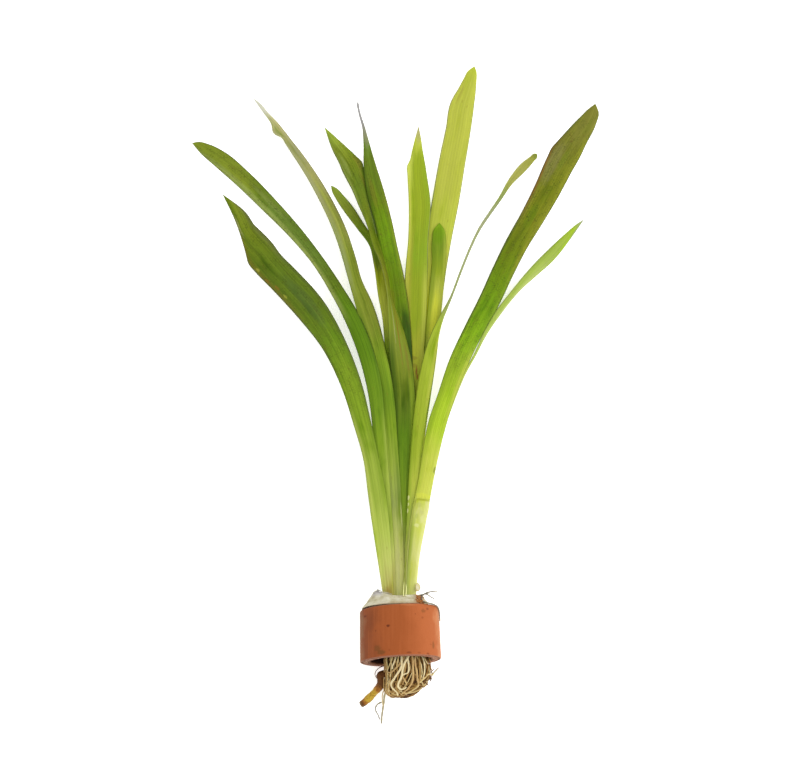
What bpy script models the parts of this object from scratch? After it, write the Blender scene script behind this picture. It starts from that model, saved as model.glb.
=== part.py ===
"""Vallisneria in a clay ring, lying down: strap leaves fan out along +Y, the roots point along -Y.

Lengths below are millimetres in the plant's own frame: x and y are measured on the surface it lies on
from the middle of the ring, z is the height. The last step moves the whole plant so that the middle of
its outline is over the origin.
"""

import math

import bmesh
import bpy
import numpy as np
from mathutils import Vector

MM = 0.001
GAP = 0.3

# Clay ring
RING_OUTER_R = 17.5
RING_INNER_R = 13.0
RING_HEIGHT = 22.2
RING_CHAMFER = 0.8
RING_SIDES = 48
RING_TURN = 2.5
AXIS_Z = RING_OUTER_R * math.cos(math.pi / RING_SIDES)

# Leaves: each has a layer in the stack, 0 at the bottom
MIDDLE_LAYER = 4
CROWN_PITCH = 1.15
FLAT_PITCH = 0.95
LOWEST_LEAF_Z = 0.4
DROOP_FROM_Y = 20.0
DROOP_TO_Y = 125.0
LEAF_THICK = 0.6
LEAF_CAMBER = 0.3
FULL_CAMBER_HALF = 2.0
LEAF_COLUMNS = 5
CUTS_PER_SPAN = 2

# Wool, crown and roots
WOOL_BOTTOM_Y = -1.0
CROWN_TOP_Y = 14.2
HOLE_HALF_X = 8.8
HOLE_HALF_Z = 6.6
ROOT_RIDGES = 9
ROOT_RIDGE_DEPTH = 0.07

# Each leaf: layer in the stack, colour, and rows of (x, y, lift off the stack, left and right half
# width, roll in degrees that lowers the right edge), from the crown to the tip.
LEAVES = {
    "leaf_low_left": (
        8,
        (0.13, 0.20, 0.03),
        [
            (-4.7, 14.6, 0.0, 2.3, 2.3, 0),
            (-6.2, 32.0, 0.0, 3.4, 2.7, 0),
            (-8.2, 50.0, 0.0, 4.1, 3.4, 0),
            (-9.6, 61.0, 0.0, 4.2, 3.6, 0),
            (-12.6, 78.5, 0.0, 3.5, 3.2, 0),
            (-16.3, 94.5, 0.0, 4.1, 3.7, 0),
            (-21.3, 112.5, -0.3, 4.7, 4.4, 0),
            (-29.4, 131.0, -1.6, 5.3, 5.5, 0),
            (-39.0, 146.5, -3.4, 6.8, 6.7, 0),
            (-52.5, 162.0, -5.4, 6.8, 7.0, 0),
            (-58.0, 168.6, -6.2, 7.3, 6.5, 0),
            (-62.0, 173.5, -6.8, 7.1, 7.0, 0),
            (-66.7, 178.5, -7.2, 3.4, 7.1, 0),
            (-70.0, 183.0, -7.5, 1.3, 6.4, 0),
            (-72.5, 189.0, -7.8, 1.0, 5.3, 0),
            (-79.1, 200.8, -7.7, 0.0, 0.0, 0),
        ],
    ),
    "leaf_upper_left": (
        7,
        (0.16, 0.30, 0.04),
        [
            (-4.2, 14.6, 0.0, 3.0, 2.6, 0),
            (-5.2, 36.5, 0.0, 3.0, 2.8, 0),
            (-6.7, 57.0, 0.0, 3.2, 3.0, 0),
            (-8.0, 77.5, 0.0, 3.2, 2.8, 0),
            (-9.3, 96.0, 0.0, 3.1, 2.7, 0),
            (-11.0, 112.0, 0.0, 3.7, 3.0, 0),
            (-14.7, 128.0, 0.0, 4.2, 2.9, 0),
            (-20.6, 142.5, -0.3, 3.9, 3.0, 0),
            (-28.2, 155.5, -1.0, 2.9, 3.1, 0),
            (-36.0, 168.5, -2.4, 2.8, 2.7, 0),
            (-46.0, 182.0, -3.9, 3.4, 2.9, 0),
            (-58.2, 195.5, -5.2, 3.9, 3.6, 0),
            (-70.0, 207.5, -6.3, 4.0, 4.1, 0),
            (-81.4, 217.0, -6.9, 3.3, 4.4, 0),
            (-87.6, 221.0, -6.9, 2.1, 3.5, 0),
            (-91.0, 223.2, -6.5, 0.9, 1.9, 0),
            (-92.9, 224.2, -6.3, 0.0, 0.0, 0),
        ],
    ),
    "leaf_narrow_left": (
        6,
        (0.28, 0.33, 0.12),
        [
            (-1.3, 14.6, 0.0, 3.2, 3.0, 0),
            (-1.8, 39.0, 0.0, 3.3, 3.3, 0),
            (-3.0, 64.0, 0.0, 3.4, 3.3, 0),
            (-4.7, 87.0, 0.0, 3.6, 3.6, 0),
            (-6.6, 107.5, 0.0, 4.0, 4.0, 0),
            (-10.0, 128.0, 0.0, 3.9, 3.8, 0),
            (-15.8, 148.5, -0.2, 4.0, 4.0, 15),
            (-19.8, 160.0, -0.6, 3.4, 3.3, 28),
            (-22.3, 170.0, -1.2, 4.1, 3.6, 38),
            (-26.7, 184.0, -1.9, 4.6, 3.7, 42),
            (-33.0, 197.5, -2.6, 4.2, 3.6, 42),
            (-41.2, 211.5, -3.2, 3.3, 3.4, 42),
            (-46.6, 219.6, -3.8, 2.7, 3.0, 40),
            (-49.9, 224.5, -4.1, 2.3, 2.4, 38),
            (-51.7, 227.1, -4.2, 2.1, 2.2, 36),
            (-52.4, 228.1, -4.3, 3.2, 2.15, 35),
            (-53.8, 229.9, -4.4, 4.0, 2.1, 34),
            (-55.0, 231.6, -4.6, 2.9, 2.0, 32),
            (-56.2, 233.2, -4.7, 1.8, 1.8, 30),
            (-59.6, 237.6, -5.0, 1.1, 1.1, 26),
            (-62.5, 241.5, -5.1, 0.8, 0.8, 20),
            (-65.6, 244.9, -5.3, 0.0, 0.0, 15),
        ],
    ),
    "leaf_cut_tip": (
        5,
        (0.15, 0.24, 0.04),
        [
            (1.5, 14.6, 0.0, 3.2, 2.8, 0),
            (1.1, 41.5, 0.0, 3.2, 3.0, 0),
            (1.3, 64.0, 0.0, 3.7, 3.7, 0),
            (1.7, 87.0, 0.0, 4.6, 4.6, 0),
            (1.7, 108.0, 0.0, 5.0, 5.0, 0),
            (1.0, 118.0, 0.1, 4.9, 4.9, 2),
            (-0.4, 128.0, 1.6, 4.7, 4.8, 22),
            (-2.7, 142.0, 3.7, 4.6, 4.6, 54),
            (-4.8, 152.0, 4.4, 4.3, 4.3, 76),
            (-6.2, 160.5, 4.3, 4.2, 4.2, 74),
            (-8.0, 167.5, 4.0, 4.1, 4.0, 70),
            (-10.5, 174.5, 2.2, 4.0, 4.0, 65),
            (-12.4, 182.0, 0.8, 4.0, 4.0, 60),
            (-15.1, 193.5, -0.7, 4.5, 4.0, 45),
            (-17.6, 203.5, -1.7, 4.9, 4.2, 25),
            (-20.4, 210.0, -2.2, 4.9, 4.9, 15),
            (-21.7, 213.0, -2.5, 4.8, 5.3, 10),
            (-23.0, 215.4, -2.7, 4.4, 4.4, 8),
            (-27.4, 222.0, -3.2, 3.2, 2.6, 5),
            (-33.9, 231.6, -3.8, 0.0, 0.0, 0),
        ],
    ),
    "leaf_thread_tip": (
        4,
        (0.10, 0.22, 0.03),
        [
            (1.7, 14.6, 0.0, 3.4, 2.8, 0),
            (1.9, 50.5, 0.0, 3.2, 3.2, 0),
            (2.0, 82.5, 0.0, 3.7, 3.7, 0),
            (1.8, 106.0, 0.0, 3.9, 3.9, 0),
            (1.1, 128.5, 0.0, 4.3, 4.3, 0),
            (-0.2, 146.5, 0.0, 4.1, 4.3, 0),
            (-2.0, 160.5, 0.0, 3.8, 4.0, 0),
            (-4.6, 174.0, 0.0, 3.4, 3.7, 0),
            (-7.5, 187.5, 0.0, 3.9, 3.8, 0),
            (-11.1, 201.5, -0.3, 3.9, 3.8, 0),
            (-13.4, 213.0, -1.0, 2.8, 2.7, 0),
            (-15.2, 225.0, -1.8, 1.2, 1.2, 0),
            (-16.4, 231.5, -2.2, 0.6, 0.7, 0),
            (-17.8, 236.5, -2.4, 0.4, 0.4, 0),
            (-18.6, 240.0, -2.5, 0.3, 0.3, 0),
            (-19.0, 243.2, -2.6, 0.0, 0.0, 0),
        ],
    ),
    "leaf_small": (
        3,
        (0.12, 0.22, 0.04),
        [
            (-2.2, 14.6, 0.0, 2.0, 2.0, 0),
            (-2.0, 60.0, 0.0, 1.9, 1.9, 0),
            (-2.6, 87.5, 0.0, 1.9, 1.9, 0),
            (-3.2, 110.5, 0.0, 2.0, 2.0, 0),
            (-4.9, 131.0, -0.6, 1.9, 1.9, 0),
            (-5.9, 143.5, -1.2, 1.9, 1.9, 0),
            (-7.5, 154.0, -1.8, 2.2, 2.1, 0),
            (-9.5, 168.0, -2.2, 2.4, 2.2, 0),
            (-12.2, 177.5, -2.4, 2.1, 1.9, 0),
            (-17.4, 185.5, -2.3, 1.9, 1.9, 0),
            (-22.9, 193.5, -2.2, 2.2, 2.3, 0),
            (-26.9, 199.0, -2.2, 1.8, 1.9, 0),
            (-29.4, 202.6, -2.3, 1.1, 1.3, 0),
            (-30.8, 204.6, -2.4, 0.0, 0.0, 0),
        ],
    ),
    "leaf_pale_centre": (
        3,
        (0.36, 0.52, 0.10),
        [
            (2.9, 14.6, 0.0, 2.5, 2.8, 0),
            (3.9, 51.0, 0.0, 3.0, 3.0, 0),
            (4.6, 83.0, 0.0, 3.7, 3.7, 0),
            (5.5, 106.0, 0.0, 4.2, 4.2, 0),
            (6.2, 129.0, 0.0, 4.6, 4.6, 0),
            (6.8, 147.0, 0.0, 5.0, 5.0, 0),
            (7.2, 162.5, 0.0, 5.0, 5.0, 0),
            (8.0, 179.0, 0.0, 4.4, 4.5, 0),
            (8.9, 195.0, -0.5, 5.0, 4.7, 0),
            (7.8, 209.0, -1.2, 4.5, 4.2, 0),
            (7.7, 213.4, -1.5, 4.5, 3.7, 0),
            (7.7, 215.8, -1.6, 3.4, 3.3, 0),
            (7.7, 220.5, -1.8, 2.3, 2.5, 0),
            (8.1, 226.4, -2.0, 1.3, 1.3, 0),
            (8.3, 232.2, -2.2, 0.0, 0.0, 0),
        ],
    ),
    "leaf_tallest": (
        1,
        (0.42, 0.56, 0.09),
        [
            (3.2, 14.6, 0.0, 2.8, 2.8, 0),
            (4.3, 42.5, 0.0, 3.0, 3.0, 0),
            (5.7, 69.5, 0.0, 3.5, 3.5, 0),
            (7.4, 92.5, 0.0, 3.9, 3.9, 0),
            (9.1, 111.0, 0.0, 4.7, 4.8, 0),
            (10.8, 129.0, -0.2, 5.3, 5.5, 0),
            (12.4, 145.0, -0.4, 5.4, 5.6, 0),
            (14.4, 161.0, -0.5, 5.6, 5.4, 0),
            (17.4, 179.5, -0.5, 5.9, 5.4, 0),
            (20.5, 197.5, -0.3, 6.2, 5.8, 0),
            (23.7, 216.0, 0.0, 6.2, 5.6, 0),
            (26.3, 230.0, 0.3, 5.9, 5.3, 0),
            (28.2, 241.5, 0.3, 5.7, 5.0, 0),
            (30.2, 247.8, 0.2, 4.4, 3.8, 0),
            (32.0, 253.6, 0.0, 3.3, 2.4, 0),
            (33.0, 257.4, -0.2, 2.4, 1.4, 0),
            (33.4, 260.0, -0.4, 0.0, 0.0, 0),
        ],
    ),
    "leaf_young": (
        2,
        (0.30, 0.48, 0.08),
        [
            (2.4, 14.6, 0.0, 2.4, 2.4, 0),
            (3.5, 42.0, 0.0, 2.4, 2.4, 0),
            (5.2, 64.5, 0.0, 2.6, 2.6, 0),
            (7.4, 88.0, 0.0, 2.7, 2.7, 0),
            (10.1, 106.0, 0.0, 3.0, 3.0, 0),
            (12.8, 124.5, 0.0, 3.1, 3.1, 0),
            (14.6, 140.5, 0.0, 3.1, 3.1, 0),
            (16.1, 156.0, 0.0, 3.1, 3.1, 0),
            (17.2, 169.0, -0.1, 3.1, 3.1, 0),
            (17.3, 179.0, -0.2, 3.1, 3.1, 0),
            (17.4, 184.5, -0.3, 2.0, 2.0, 0),
            (17.5, 187.0, -0.4, 0.0, 0.0, 0),
        ],
    ),
    "leaf_twisted": (
        7,
        (0.24, 0.42, 0.07),
        [
            (3.4, 14.6, 0.0, 2.2, 1.9, 0),
            (4.7, 41.0, 0.0, 2.3, 2.3, 0),
            (6.1, 63.5, 0.0, 2.6, 2.6, 0),
            (7.4, 84.5, 0.0, 2.6, 2.6, 0),
            (9.3, 103.0, 0.0, 2.7, 3.0, 0),
            (10.9, 115.0, 0.0, 2.6, 3.5, 5),
            (12.6, 124.5, 0.0, 2.4, 3.3, 20),
            (14.7, 132.5, -0.2, 2.5, 2.8, 40),
            (17.6, 141.0, -0.8, 2.6, 2.6, 66),
            (22.1, 151.5, -2.0, 2.6, 2.6, 84),
            (26.5, 163.5, -2.8, 2.6, 2.6, 85),
            (30.8, 174.5, -3.3, 2.6, 2.6, 85),
            (35.0, 183.5, -3.6, 2.6, 2.6, 84),
            (40.5, 192.0, -3.7, 2.5, 2.5, 82),
            (44.5, 198.0, -4.0, 2.4, 2.4, 78),
            (49.0, 205.5, -4.5, 2.2, 2.2, 62),
            (55.0, 212.5, -5.1, 2.4, 2.4, 40),
            (59.2, 216.8, -5.4, 1.2, 1.2, 26),
            (61.1, 219.0, -5.5, 0.0, 0.0, 20),
        ],
    ),
    "leaf_long_right": (
        8,
        (0.17, 0.24, 0.04),
        [
            (4.5, 14.6, 0.0, 2.4, 2.0, 0),
            (5.6, 32.0, 0.0, 2.8, 2.6, 0),
            (8.1, 50.0, 0.0, 3.5, 3.3, 0),
            (11.2, 68.0, 0.0, 3.3, 3.3, 0),
            (13.5, 81.0, 0.0, 3.6, 3.6, 0),
            (16.1, 93.5, 0.0, 4.0, 4.0, 0),
            (20.4, 107.0, 0.0, 3.9, 3.8, 0),
            (25.7, 122.0, -0.4, 4.3, 4.2, 0),
            (32.2, 136.5, -1.4, 4.3, 4.4, 0),
            (39.5, 150.5, -2.8, 4.8, 4.6, 0),
            (45.7, 164.5, -4.1, 4.9, 4.8, 0),
            (51.9, 177.0, -5.2, 5.2, 4.8, 0),
            (58.7, 189.0, -6.1, 5.5, 5.1, 0),
            (65.8, 202.5, -7.2, 6.1, 5.7, 0),
            (71.6, 214.5, -7.8, 6.8, 6.1, 0),
            (74.3, 219.1, -7.9, 7.2, 6.0, 0),
            (75.4, 220.9, -7.9, 6.8, 5.9, 0),
            (78.3, 225.5, -7.9, 5.9, 5.2, 0),
            (84.6, 235.0, -7.4, 4.0, 3.6, 0),
            (86.5, 239.4, -7.0, 2.2, 2.6, 0),
            (87.4, 242.4, -6.8, 0.0, 0.0, 0),
        ],
    ),
    "leaf_low_right": (
        0,
        (0.28, 0.44, 0.08),
        [
            (3.9, 14.6, 0.0, 2.2, 1.8, 0),
            (6.5, 40.0, 0.0, 2.2, 2.2, 0),
            (10.5, 65.0, 0.0, 2.1, 2.6, 0),
            (14.5, 83.5, 0.0, 2.1, 2.6, 0),
            (18.6, 97.5, 0.4, 2.1, 2.3, 15),
            (24.2, 110.0, 1.3, 2.1, 1.9, 52),
            (29.2, 120.1, 1.9, 2.1, 2.0, 82),
            (32.8, 126.6, 1.9, 2.1, 2.0, 82),
            (37.5, 136.2, 1.9, 2.2, 1.8, 70),
            (43.6, 145.9, 1.5, 2.4, 1.8, 56),
            (48.3, 152.0, 1.5, 2.5, 1.6, 55),
            (53.2, 158.0, 1.5, 2.6, 1.9, 52),
            (59.1, 164.3, 1.0, 2.7, 2.1, 32),
            (66.9, 172.2, 0.4, 2.8, 2.3, 8),
            (75.1, 181.7, 0.0, 1.7, 1.5, 0),
            (79.2, 186.4, 0.0, 0.8, 0.8, 0),
            (82.0, 189.2, 0.0, 0.0, 0.0, 0),
        ],
    ),
    "old_sheath": (
        9,
        (0.62, 0.62, 0.33),
        [
            (4.8, 14.6, 0.0, 2.5, 1.9, 0),
            (6.0, 32.0, 0.0, 2.6, 2.3, 0),
            (8.2, 50.0, 0.0, 3.0, 3.2, 0),
            (9.0, 56.0, 0.0, 2.8, 3.6, 0),
            (9.4, 59.0, 0.0, 2.3, 3.5, 0),
        ],
    ),
}
LEAVES_WITH_TORN_END = ("old_sheath",)

# Wool: rows of (y, how far it stands out sideways on the left, on the right and at the front)
WOOL_OUTSIDE = [
    (WOOL_BOTTOM_Y, 12.7, 12.7, 12.7),
    (11.5, 12.7, 12.7, 12.7),
    (11.9, 15.9, 13.0, 13.0),
    (14.0, 14.2, 12.4, 12.2),
    (16.0, 12.4, 11.4, 11.0),
    (18.2, 10.6, 10.2, 9.6),
]
WOOL_LIP_Y = {"left": 18.9, "right": 16.2, "front": 15.2, "back": 16.6}
WOOL_ROUND = 36

# Root tuft: rows of (y, middle x, middle z, half width, half height)
TUFT = [
    (-1.6, 1.0, 17.5, 4.0, 4.0),
    (-6.0, 1.8, 17.5, 7.5, 7.5),
    (-11.0, 2.4, 17.0, 9.3, 9.3),
    (-13.5, 3.2, 16.0, 10.0, 9.6),
    (-17.0, 3.2, 14.0, 10.2, 9.6),
    (-20.5, 2.2, 12.2, 9.4, 8.8),
    (-23.5, 0.6, 10.8, 7.8, 7.0),
    (-25.6, 0.0, 10.0, 4.8, 4.4),
    (-26.6, -0.2, 9.8, 2.0, 1.8),
]
TUFT_ROUND = 36

# Runner: rows of (x, y, z, radius), from the rhizome knob to the cut end
RUNNER = [
    (-4.0, -15.8, 15.2, 1.3),
    (-6.0, -16.2, 15.2, 1.5),
    (-8.2, -17.0, 14.8, 1.9),
    (-8.2, -19.2, 13.2, 1.5),
    (-8.7, -21.2, 11.0, 1.6),
    (-10.4, -22.9, 8.8, 1.5),
    (-13.8, -26.0, 5.5, 1.6),
    (-16.5, -28.0, 3.2, 1.3),
]
RUNNER_ROUND = 12

# Single roots: radius at the start and at the tip, then the points that each passes
SINGLE_ROOTS = {
    "long_root": (
        0.45,
        0.28,
        (0.62, 0.55, 0.36),
        [
            (-5.8, -22.6, 5.2),
            (-6.6, -24.0, 4.0),
            (-6.9, -26.0, 2.8),
            (-7.2, -28.4, 1.8),
            (-7.6, -31.2, 1.1),
            (-7.9, -33.8, 0.9),
            (-8.0, -36.0, 0.8),
        ],
    ),
    "looped_root": (
        0.22,
        0.18,
        (0.40, 0.36, 0.30),
        [
            (-8.0, -27.0, 2.4),
            (-9.0, -27.3, 1.9),
            (-10.1, -28.2, 1.5),
            (-10.6, -29.4, 1.2),
            (-10.3, -30.8, 1.0),
            (-9.4, -32.4, 0.9),
            (-8.8, -34.2, 0.8),
        ],
    ),
    "side_root": (
        0.4,
        0.22,
        (0.70, 0.64, 0.45),
        [
            (13.7, -16.6, 11.6),
            (14.5, -15.6, 12.0),
            (15.5, -14.5, 12.2),
            (16.7, -13.3, 12.2),
        ],
    ),
    "top_root": (
        0.24,
        0.18,
        (0.16, 0.15, 0.10),
        [
            (8.9, 15.4, 27.6),
            (10.4, 16.2, 28.2),
            (12.6, 17.0, 28.5),
            (14.4, 17.1, 28.5),
            (16.0, 17.0, 28.2),
        ],
    ),
}

# Dry scale beside the bundle's foot: corners of its outline, seen from above
DRY_SCALE = [(6.6, 17.8), (8.1, 18.0), (8.8, 19.3), (8.4, 20.8), (7.5, 21.6), (6.7, 20.8)]
DRY_SCALE_Z = 24.6
DRY_SCALE_THICK = 0.6


def clear_scene():
    for old in list(bpy.data.objects):
        bpy.data.objects.remove(old, do_unlink=True)


def material(name, colour, roughness):
    made = bpy.data.materials.new(name)
    made.use_nodes = True
    shader = made.node_tree.nodes["Principled BSDF"]
    shader.inputs["Base Color"].default_value = (*colour, 1.0)
    shader.inputs["Roughness"].default_value = roughness
    shader.inputs["Metallic"].default_value = 0.0
    return made


def smooth_step(t):
    t = np.clip(t, 0.0, 1.0)
    return t * t * (3 - 2 * t)


def smooth_rows(rows, cuts):
    """The hand-placed rows read along one smooth curve, with some cuts between each two."""
    rows = np.array(rows, float)
    steps = np.linalg.norm(np.diff(rows[:, :3], axis=0), axis=1)
    along = np.concatenate([[0.0], np.cumsum(steps)])
    slopes = np.gradient(rows, along, axis=0)
    read = []
    for i, span in enumerate(steps):
        for k in range(cuts):
            t = k / cuts
            start = (1 + 2 * t) * (1 - t) ** 2 * rows[i] + t * (1 - t) ** 2 * span * slopes[i]
            end = t * t * (3 - 2 * t) * rows[i + 1] + t * t * (t - 1) * span * slopes[i + 1]
            read.append(start + end)
    return np.array(read + [rows[-1]])


def solid_from_sections(name, sections, tip=None, ring_shut=False):
    """A closed solid whose skin runs over the sections: capped, drawn to a tip, or shut into a ring."""
    mesh = bmesh.new()
    rows = [[mesh.verts.new(Vector(point) * MM) for point in section] for section in sections]
    count = len(rows[0])
    pairs = list(zip(rows[:-1], rows[1:]))
    if ring_shut:
        pairs.append((rows[-1], rows[0]))
    for near, far in pairs:
        for i in range(count):
            j = (i + 1) % count
            mesh.faces.new((near[i], near[j], far[j], far[i]))
    if not ring_shut:
        mesh.faces.new(rows[0])
        if tip is None:
            mesh.faces.new(rows[-1])
        else:
            end = mesh.verts.new(Vector(tip) * MM)
            for i in range(count):
                mesh.faces.new((rows[-1][i], rows[-1][(i + 1) % count], end))
    bmesh.ops.recalc_face_normals(mesh, faces=mesh.faces)
    data = bpy.data.meshes.new(name)
    mesh.to_mesh(data)
    mesh.free()
    data.shade_smooth()
    return bpy.data.objects.new(name, data)


def finish(obj, colour, roughness, collection):
    obj.data.materials.clear()
    obj.data.materials.append(material(obj.name, colour, roughness))
    collection.objects.link(obj)
    return obj


def stack_height(layer, y):
    """Height of a leaf in the stack: level with the ring's axis at the crown, near the surface beyond."""
    at_crown = AXIS_Z + CROWN_PITCH * (layer - MIDDLE_LAYER)
    at_rest = LOWEST_LEAF_Z + FLAT_PITCH * layer
    droop = smooth_step((y - DROOP_FROM_Y) / (DROOP_TO_Y - DROOP_FROM_Y))
    return at_crown * (1 - droop) + at_rest * droop


def leaf_section(middle, ahead, left, right, roll):
    """One cut across a leaf: a thin arched lens, top from left to right, then the underside back."""
    side = np.array([ahead[1], -ahead[0], 0.0])
    side /= np.linalg.norm(side)
    up = np.cross(side, ahead)
    angle = math.radians(roll)
    across = side * math.cos(angle) - up * math.sin(angle)
    normal = side * math.sin(angle) + up * math.cos(angle)
    camber = LEAF_CAMBER * min(1.0, (left + right) / 2 / FULL_CAMBER_HALF)
    thick = LEAF_THICK * min(1.0, (left + right) / 2 / FULL_CAMBER_HALF + 0.3)

    def point(v, face):
        reach = v * (left if v < 0 else right)
        rise = (camber + face * thick / 2) * (1 - v * v)
        return middle + across * reach + normal * rise

    places = np.linspace(-1, 1, LEAF_COLUMNS)
    top = [point(v, 1) for v in places]
    underside = [point(v, -1) for v in places[-2:0:-1]]
    return top + underside


def leaf(name, layer, rows, torn_end):
    placed = [(x, y, stack_height(layer, y) + lift, *rest) for x, y, lift, *rest in rows]
    read = smooth_rows(placed, CUTS_PER_SPAN)
    ahead = np.gradient(read[:, :3], axis=0)
    ahead /= np.linalg.norm(ahead, axis=1)[:, None]
    ends = len(read) if torn_end else len(read) - 1
    sections = [
        leaf_section(read[i, :3], ahead[i], max(read[i, 3], 0.15), max(read[i, 4], 0.15), read[i, 5])
        for i in range(ends)
    ]
    return solid_from_sections(name, sections, None if torn_end else read[-1, :3])


def turned_ring():
    """The clay ring: its section turned about its axis, which then lies along +Y with a facet down."""
    half = RING_HEIGHT / 2
    cut = RING_CHAMFER
    half_facet = math.pi / RING_SIDES
    section = [
        (RING_OUTER_R - cut, half),
        (RING_OUTER_R, half - cut),
        (RING_OUTER_R, cut - half),
        (RING_OUTER_R - cut, -half),
        (RING_INNER_R + cut, -half),
        (RING_INNER_R, cut - half),
        (RING_INNER_R, half - cut),
        (RING_INNER_R + cut, half),
    ]
    data = bpy.data.meshes.new("clay_ring")
    edges = [(i, (i + 1) % len(section)) for i in range(len(section))]
    first = Vector((math.cos(half_facet), math.sin(half_facet), 0)) * MM
    data.from_pydata([first * r + Vector((0, 0, z * MM)) for r, z in section], edges, [])
    ring = bpy.data.objects.new("clay_ring", data)
    screw = ring.modifiers.new("turn", "SCREW")
    screw.axis = "Z"
    screw.steps = RING_SIDES
    screw.render_steps = RING_SIDES
    screw.use_merge_vertices = True
    screw.merge_threshold = 0.00001
    ring.rotation_mode = "YXZ"
    ring.rotation_euler = (-math.pi / 2, 0, math.radians(RING_TURN))
    return ring


def wool_section(y_left, y_right, y_front, y_back, reach, turn=0.0):
    """One turn of the wool's skin; reach gives its distance from the axis for each direction."""
    points = []
    tilt_c = math.cos(math.radians(turn))
    tilt_s = math.sin(math.radians(turn))
    for i in range(WOOL_ROUND):
        angle = 2 * math.pi * i / WOOL_ROUND
        c = math.cos(angle)
        s = math.sin(angle)
        y_side = y_left if c < 0 else y_right
        y_face = y_front if s > 0 else y_back
        x = reach(c, s) * c
        y = y_side * c * c + y_face * s * s
        points.append((x * tilt_c - y * tilt_s, x * tilt_s + y * tilt_c, AXIS_Z + reach(c, s) * s))
    return points


def hole_reach(grow):
    """Distance from the axis to the rounded oblong hole that the crown and the leaves fill."""

    def reach(c, s):
        x = abs(c) / (HOLE_HALF_X + grow)
        z = abs(s) / (HOLE_HALF_Z + grow)
        return (x**4 + z**4) ** -0.25

    return reach


def outside_reach(left, right, front):
    def reach(c, s):
        side = left if c < 0 else right
        return side * c * c + front * s * s

    return reach


def wool_plug():
    lip = (WOOL_LIP_Y["left"], WOOL_LIP_Y["right"], WOOL_LIP_Y["front"], WOOL_LIP_Y["back"])
    low_y = WOOL_OUTSIDE[0][0]
    sections = []
    for y, left, right, front in WOOL_OUTSIDE:
        rise = smooth_step((y - 12.0) / 6.2)
        heights = [y + rise * (edge - 18.2) * 0.8 for edge in lip]
        sections.append(wool_section(*heights, outside_reach(left, right, front), RING_TURN))
    sections.append(wool_section(*lip, hole_reach(0.9)))
    sections.append(wool_section(*[y - 0.9 for y in lip], hole_reach(0.0)))
    sections.append(wool_section(low_y, low_y, low_y, low_y, hole_reach(0.0)))
    return solid_from_sections("wool_plug", sections, ring_shut=True)


def oval_section(y, x, z, half_x, half_z, count, ripple=lambda angle: 1.0):
    points = []
    for i in range(count):
        angle = 2 * math.pi * i / count
        grow = ripple(angle)
        points.append((x + half_x * grow * math.cos(angle), y, z + half_z * grow * math.sin(angle)))
    return points


def crown():
    rows = [
        (WOOL_BOTTOM_Y, 3.0, 3.0),
        (1.0, 4.6, 4.4),
        (6.0, 6.2, 5.2),
        (11.0, 7.2, 5.6),
        (CROWN_TOP_Y - 0.8, 7.4, 5.6),
        (CROWN_TOP_Y, 6.4, 4.8),
    ]
    sections = [oval_section(y, 0.0, AXIS_Z, half_x, half_z, 24) for y, half_x, half_z in rows]
    return solid_from_sections("crown", sections)


def root_tuft():
    """The roots as one ridged bush; the ridges wind a little on their way down."""
    sections = []
    for k, (y, x, z, half_x, half_z) in enumerate(TUFT):
        twist = 0.22 * k

        def ripple(angle):
            return 1 + ROOT_RIDGE_DEPTH * math.cos(ROOT_RIDGES * (angle + twist))

        sections.append(oval_section(y, x, z, half_x, half_z, TUFT_ROUND, ripple))
    return solid_from_sections("root_tuft", sections)


def tapered_tube(name, rows, cuts, count, grow=0.0):
    """A round tube of changing radius along a smooth path."""
    read = smooth_rows(rows, cuts)
    ahead = np.gradient(read[:, :3], axis=0)
    ahead /= np.linalg.norm(ahead, axis=1)[:, None]
    sections = []
    for middle, along, radius in zip(read[:, :3], ahead, read[:, 3]):
        side = np.cross(along, (0.0, 0.0, 1.0))
        side /= np.linalg.norm(side)
        up = np.cross(side, along)
        turn = [2 * math.pi * i / count for i in range(count)]
        r = radius + grow
        sections.append([middle + r * (side * math.cos(a) + up * math.sin(a)) for a in turn])
    return solid_from_sections(name, sections)


def single_root(name, thick, thin, points):
    """A thin root: a bevelled curve that tapers, with a point every one or two millimetres."""
    curve = bpy.data.curves.new(name, "CURVE")
    curve.dimensions = "3D"
    curve.bevel_depth = thick * MM
    curve.bevel_resolution = 2
    curve.use_fill_caps = True
    read = smooth_rows(points, 2)
    spline = curve.splines.new("POLY")
    spline.points.add(len(read) - 1)
    for i, (place, point) in enumerate(zip(read, spline.points)):
        point.co = (*(place * MM), 1.0)
        point.radius = 1 + (thin / thick - 1) * i / (len(read) - 1)
    return bpy.data.objects.new(name, curve)


def dry_scale():
    """The papery scale: a flat outline with the thickness of card, tilted against the bundle."""
    curve = bpy.data.curves.new("dry_scale", "CURVE")
    curve.dimensions = "2D"
    curve.fill_mode = "BOTH"
    curve.extrude = DRY_SCALE_THICK / 2 * MM
    middle_x = sum(x for x, _ in DRY_SCALE) / len(DRY_SCALE)
    middle_y = sum(y for _, y in DRY_SCALE) / len(DRY_SCALE)
    spline = curve.splines.new("POLY")
    spline.points.add(len(DRY_SCALE) - 1)
    for (x, y), point in zip(DRY_SCALE, spline.points):
        point.co = ((x - middle_x) * MM, (y - middle_y) * MM, 0, 1)
    spline.use_cyclic_u = True
    scale = bpy.data.objects.new("dry_scale", curve)
    scale.location = (middle_x * MM, middle_y * MM, DRY_SCALE_Z * MM)
    scale.rotation_euler = (0, math.radians(25), 0)
    return scale


def cut_from(obj, cutter, helpers):
    helpers.objects.link(cutter)
    cutter.hide_render = True
    cutter.display_type = "WIRE"
    cut = obj.modifiers.new("room for " + cutter.name, "BOOLEAN")
    cut.operation = "DIFFERENCE"
    cut.solver = "EXACT"
    cut.object = cutter
    return cutter


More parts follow.
